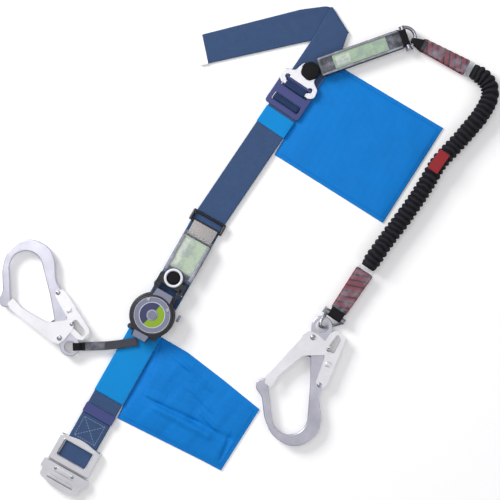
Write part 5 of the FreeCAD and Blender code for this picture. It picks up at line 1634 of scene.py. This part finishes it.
@dataclass
class BellowsLanyard(FoldedPack):
    """Elastic lanyard in a gathered cover between two red packs, with its loops, tag and shackle."""

    route: Line = (
        (0.3810, 0.29165, 0.0142), (0.3925, 0.28555, 0.0142), (0.4042, 0.27595, 0.0142),
        (0.4107, 0.26245, 0.0142), (0.4100, 0.24745, 0.0142), (0.4037, 0.23345, 0.0142),
        (0.3927, 0.21595, 0.0142), (0.3782, 0.19845, 0.0142), (0.3607, 0.17795, 0.0142),
        (0.3407, 0.15745, 0.0142), (0.3242, 0.13895, 0.0142), (0.3122, 0.11645, 0.0142),
        (0.2917, 0.08345, 0.0142), (0.2677, 0.04995, 0.0142), (0.2452, 0.02095, 0.0142),
        (0.2256, -0.00695, 0.0142), (0.2117, -0.02775, 0.0142))
    body: str = "bellows_lanyard"
    radius: float = 10.9
    gather: float = 3.8
    fold_long: float = 9.0
    rings: int = 420
    sides: int = 60

    def build(self) -> None:
        """Make the loops, the red packs and the gathered cover; dress the sleeves, tag and shackle."""
        self.dress("clear_sleeve", "first_red_pack_sleeve", "second_red_pack_sleeve")
        self.dress("red_tag", "red_inspection_tag")
        self.dress("bright_steel", "hook_shackle_bow", "hook_shackle_bolt")
        count = 80
        path = [(36.0, 17.5), (30.0, 17.6), (22.0, 17.9), (13.0, 17.7), (10.8, 13.0),
                (13.0, 8.3), (22.0, 8.1), (30.0, 8.4), (36.0, 8.5)]
        far = rounded(path, count, 0.06)[:, 0]
        half = np.interp(far, [11.0, 31.0], [3.0, 9.3])
        made = side_band("link_loop_webbing", path, half, 1.8, LINK, count, 0.06, centre=1.4)
        self.finish(made, "black_webbing", self.body, "black_webbing", "lower_link_loop")
        made = self.folds("first_red_pack_folds", RED_PACK, 0.0, 78.0, (8.7, 11.0), 17.3)
        self.finish(made, "red_folds", self.body, "red_webbing", "first_red_pack_webbing")
        made = self.folds("second_red_pack_folds", LOWER_PACK, 9.0, 82.0, (13.0, 11.2), 17.3)
        self.finish(made, "red_folds", self.body, "red_webbing", "second_red_pack_webbing")
        path = [(78.0, 17.4), (88.0, 17.6), (96.5, 17.2), (98.9, 13.0), (96.5, 8.8),
                (88.0, 8.4), (78.0, 8.6)]
        made = side_band("hook_loop_webbing", path, 11.2, 1.8, LOWER_PACK, 70, 0.06)
        self.finish(made, "black_webbing", self.body, "black_webbing", "hook_end_loop")
        self.cover()

    def cover(self) -> None:
        """The gathered tube: ruffles with sharp valleys that wander round it, flat on the table."""
        line = resampled(spline_line("bellows_line", self.route), self.rings)
        long = length_of(line)
        along = np.linspace(0.0, long / MM, self.rings)[:, None]
        turn = (np.arange(self.sides) * TAU / self.sides)[None]
        round_x, round_y = np.cos(turn) * 9.0, np.sin(turn) * 9.0
        wander = 0.9 * waves(along * 0.35, round_x, 41, 22.0)
        wander = wander + 0.9 * waves(along * 0.3, round_y, 42, 20.0)
        phase = along * math.pi / self.fold_long + 1.15 * wander + 0.5 * np.sin(turn)
        folds = np.abs(np.sin(phase)) ** 0.8
        lump = waves(along, round_x + 30.0, 43, 34.0)
        ends = np.minimum(along, long / MM - along)
        free = np.clip(ends / 14.0, 0.0, 1.0)
        radius = self.radius + free * (self.gather * folds + 0.5 * lump) + (1 - free) * 0.6
        made = tube("bellows_cloth_cover", line, radius * MM)
        # the crown attribute carries each fold's height to the finish, which paints light on the crowns
        # and shade in the valleys
        crown = made.data.attributes.new("crown", "FLOAT", "POINT")
        values = np.concatenate([folds.ravel(), [0.5, 0.5]])
        crown.data.foreach_set("value", values.astype(np.float32))
        self.finish(made, "bellows_cloth", self.body, "black_webbing", "bellows_cover")


@dataclass
class Studio:
    """Floor, light and camera: straight down on the table, soft light from the upper left."""

    eye: tuple[float, float, float] = (0.0213, 0.0009, 2.264)
    lens: float = 100.0
    sensor: float = 36.0
    floor_half: float = 14.0
    floor_drop: float = -0.0012

    def build(self) -> None:
        """Set the floor, the lights, the world and the camera."""
        self.floor()
        self.light("key", (-1.5, 1.35, 1.45), 1.0, 50.0)
        self.light("fill", (1.5, -0.9, 1.8), 1.4, 9.0)
        self.light("top", (-0.5, 0.5, 2.9), 0.9, 9.0)
        world = bpy.data.worlds.new("studio_air")
        bpy.context.scene.world = world
        world.use_nodes = True
        self.sky(world.node_tree)
        camera = bpy.data.cameras.new("camera")
        camera.lens = self.lens
        camera.sensor_width = self.sensor
        holder = bpy.data.objects.new("camera", camera)
        holder.location = self.eye
        bpy.context.scene.collection.objects.link(holder)
        bpy.context.scene.camera = holder
        bpy.context.scene.view_settings.view_transform = "Standard"

    def sky(self, tree: bpy.types.NodeTree) -> None:
        """Light from the air: white overhead, grey towards the horizon, so that edges show on metal."""
        where = tree.nodes.new("ShaderNodeTexCoord")
        split = tree.nodes.new("ShaderNodeSeparateXYZ")
        ramp = tree.nodes.new("ShaderNodeValToRGB")
        tree.links.new(where.outputs["Generated"], split.inputs[0])
        tree.links.new(split.outputs["Z"], ramp.inputs["Fac"])
        tree.links.new(ramp.outputs["Color"], tree.nodes["Background"].inputs["Color"])
        ramp.color_ramp.elements[0].color = (0.12, 0.12, 0.13, 1.0)
        ramp.color_ramp.elements[1].color = (0.95, 0.95, 0.97, 1.0)
        ramp.color_ramp.elements[1].position = 0.95
        ramp.color_ramp.elements.new(0.55).color = (0.4, 0.4, 0.42, 1.0)
        tree.nodes["Background"].inputs["Strength"].default_value = 0.66

    def floor(self) -> None:
        """A wide pale sheet at the table's height, as a grid with its own finish."""
        steps = np.linspace(-self.floor_half, self.floor_half, 9)
        x, y = np.meshgrid(steps, steps)
        points = np.stack([x, y, np.full_like(x, self.floor_drop)], axis=-1).reshape(-1, 3)
        faces = grid_faces(9, 9, False)[:, ::-1]
        made = make_object("studio_floor", points, faces, points[faces][:, :, :2])
        g = Graph("floor_paper")
        tone = g.noise(3.0)
        g.set(Base_Color=g.mix(tone, (0.95, 0.95, 0.95), (0.97, 0.97, 0.97)), Roughness=0.9)
        g.set(Emission_Color=(1.0, 1.0, 1.0, 1.0), Emission_Strength=0.12)
        made.data.materials.append(g.material)

    def light(self, name: str, spot: tuple[float, float, float], size: float, power: float) -> None:
        """Hang a square soft light that faces the middle of the table."""
        lamp = bpy.data.lights.new(name, "AREA")
        lamp.size = size
        lamp.energy = power
        holder = bpy.data.objects.new(name, lamp)
        holder.location = spot
        holder.rotation_euler = (-Vector(spot)).to_track_quat("-Z", "Y").to_euler()
        bpy.context.scene.collection.objects.link(holder)


def main() -> None:
    """Load the frame, build each sub-assembly in order and set up the studio."""
    logging.basicConfig(level=logging.INFO, format="%(message)s")
    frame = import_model()
    finishes, nodes = Finishes().all(), frame["nodes"]
    shared = (finishes, nodes)
    parts = (WaistBelt(*shared), Buckle(*shared), Pouches(*shared), HangerPlate(*shared),
             AbsorberUnit(*shared), Reel(*shared), Hook(*shared, "left", LEFT_HOOK),
             Hook(*shared, "right", RIGHT_HOOK), UpperPack(*shared), BellowsLanyard(*shared))
    for part in parts:
        LOG.info("building %s", type(part).__name__)
        part.build()
    Studio().build()


if __name__ == "__main__":
    main()
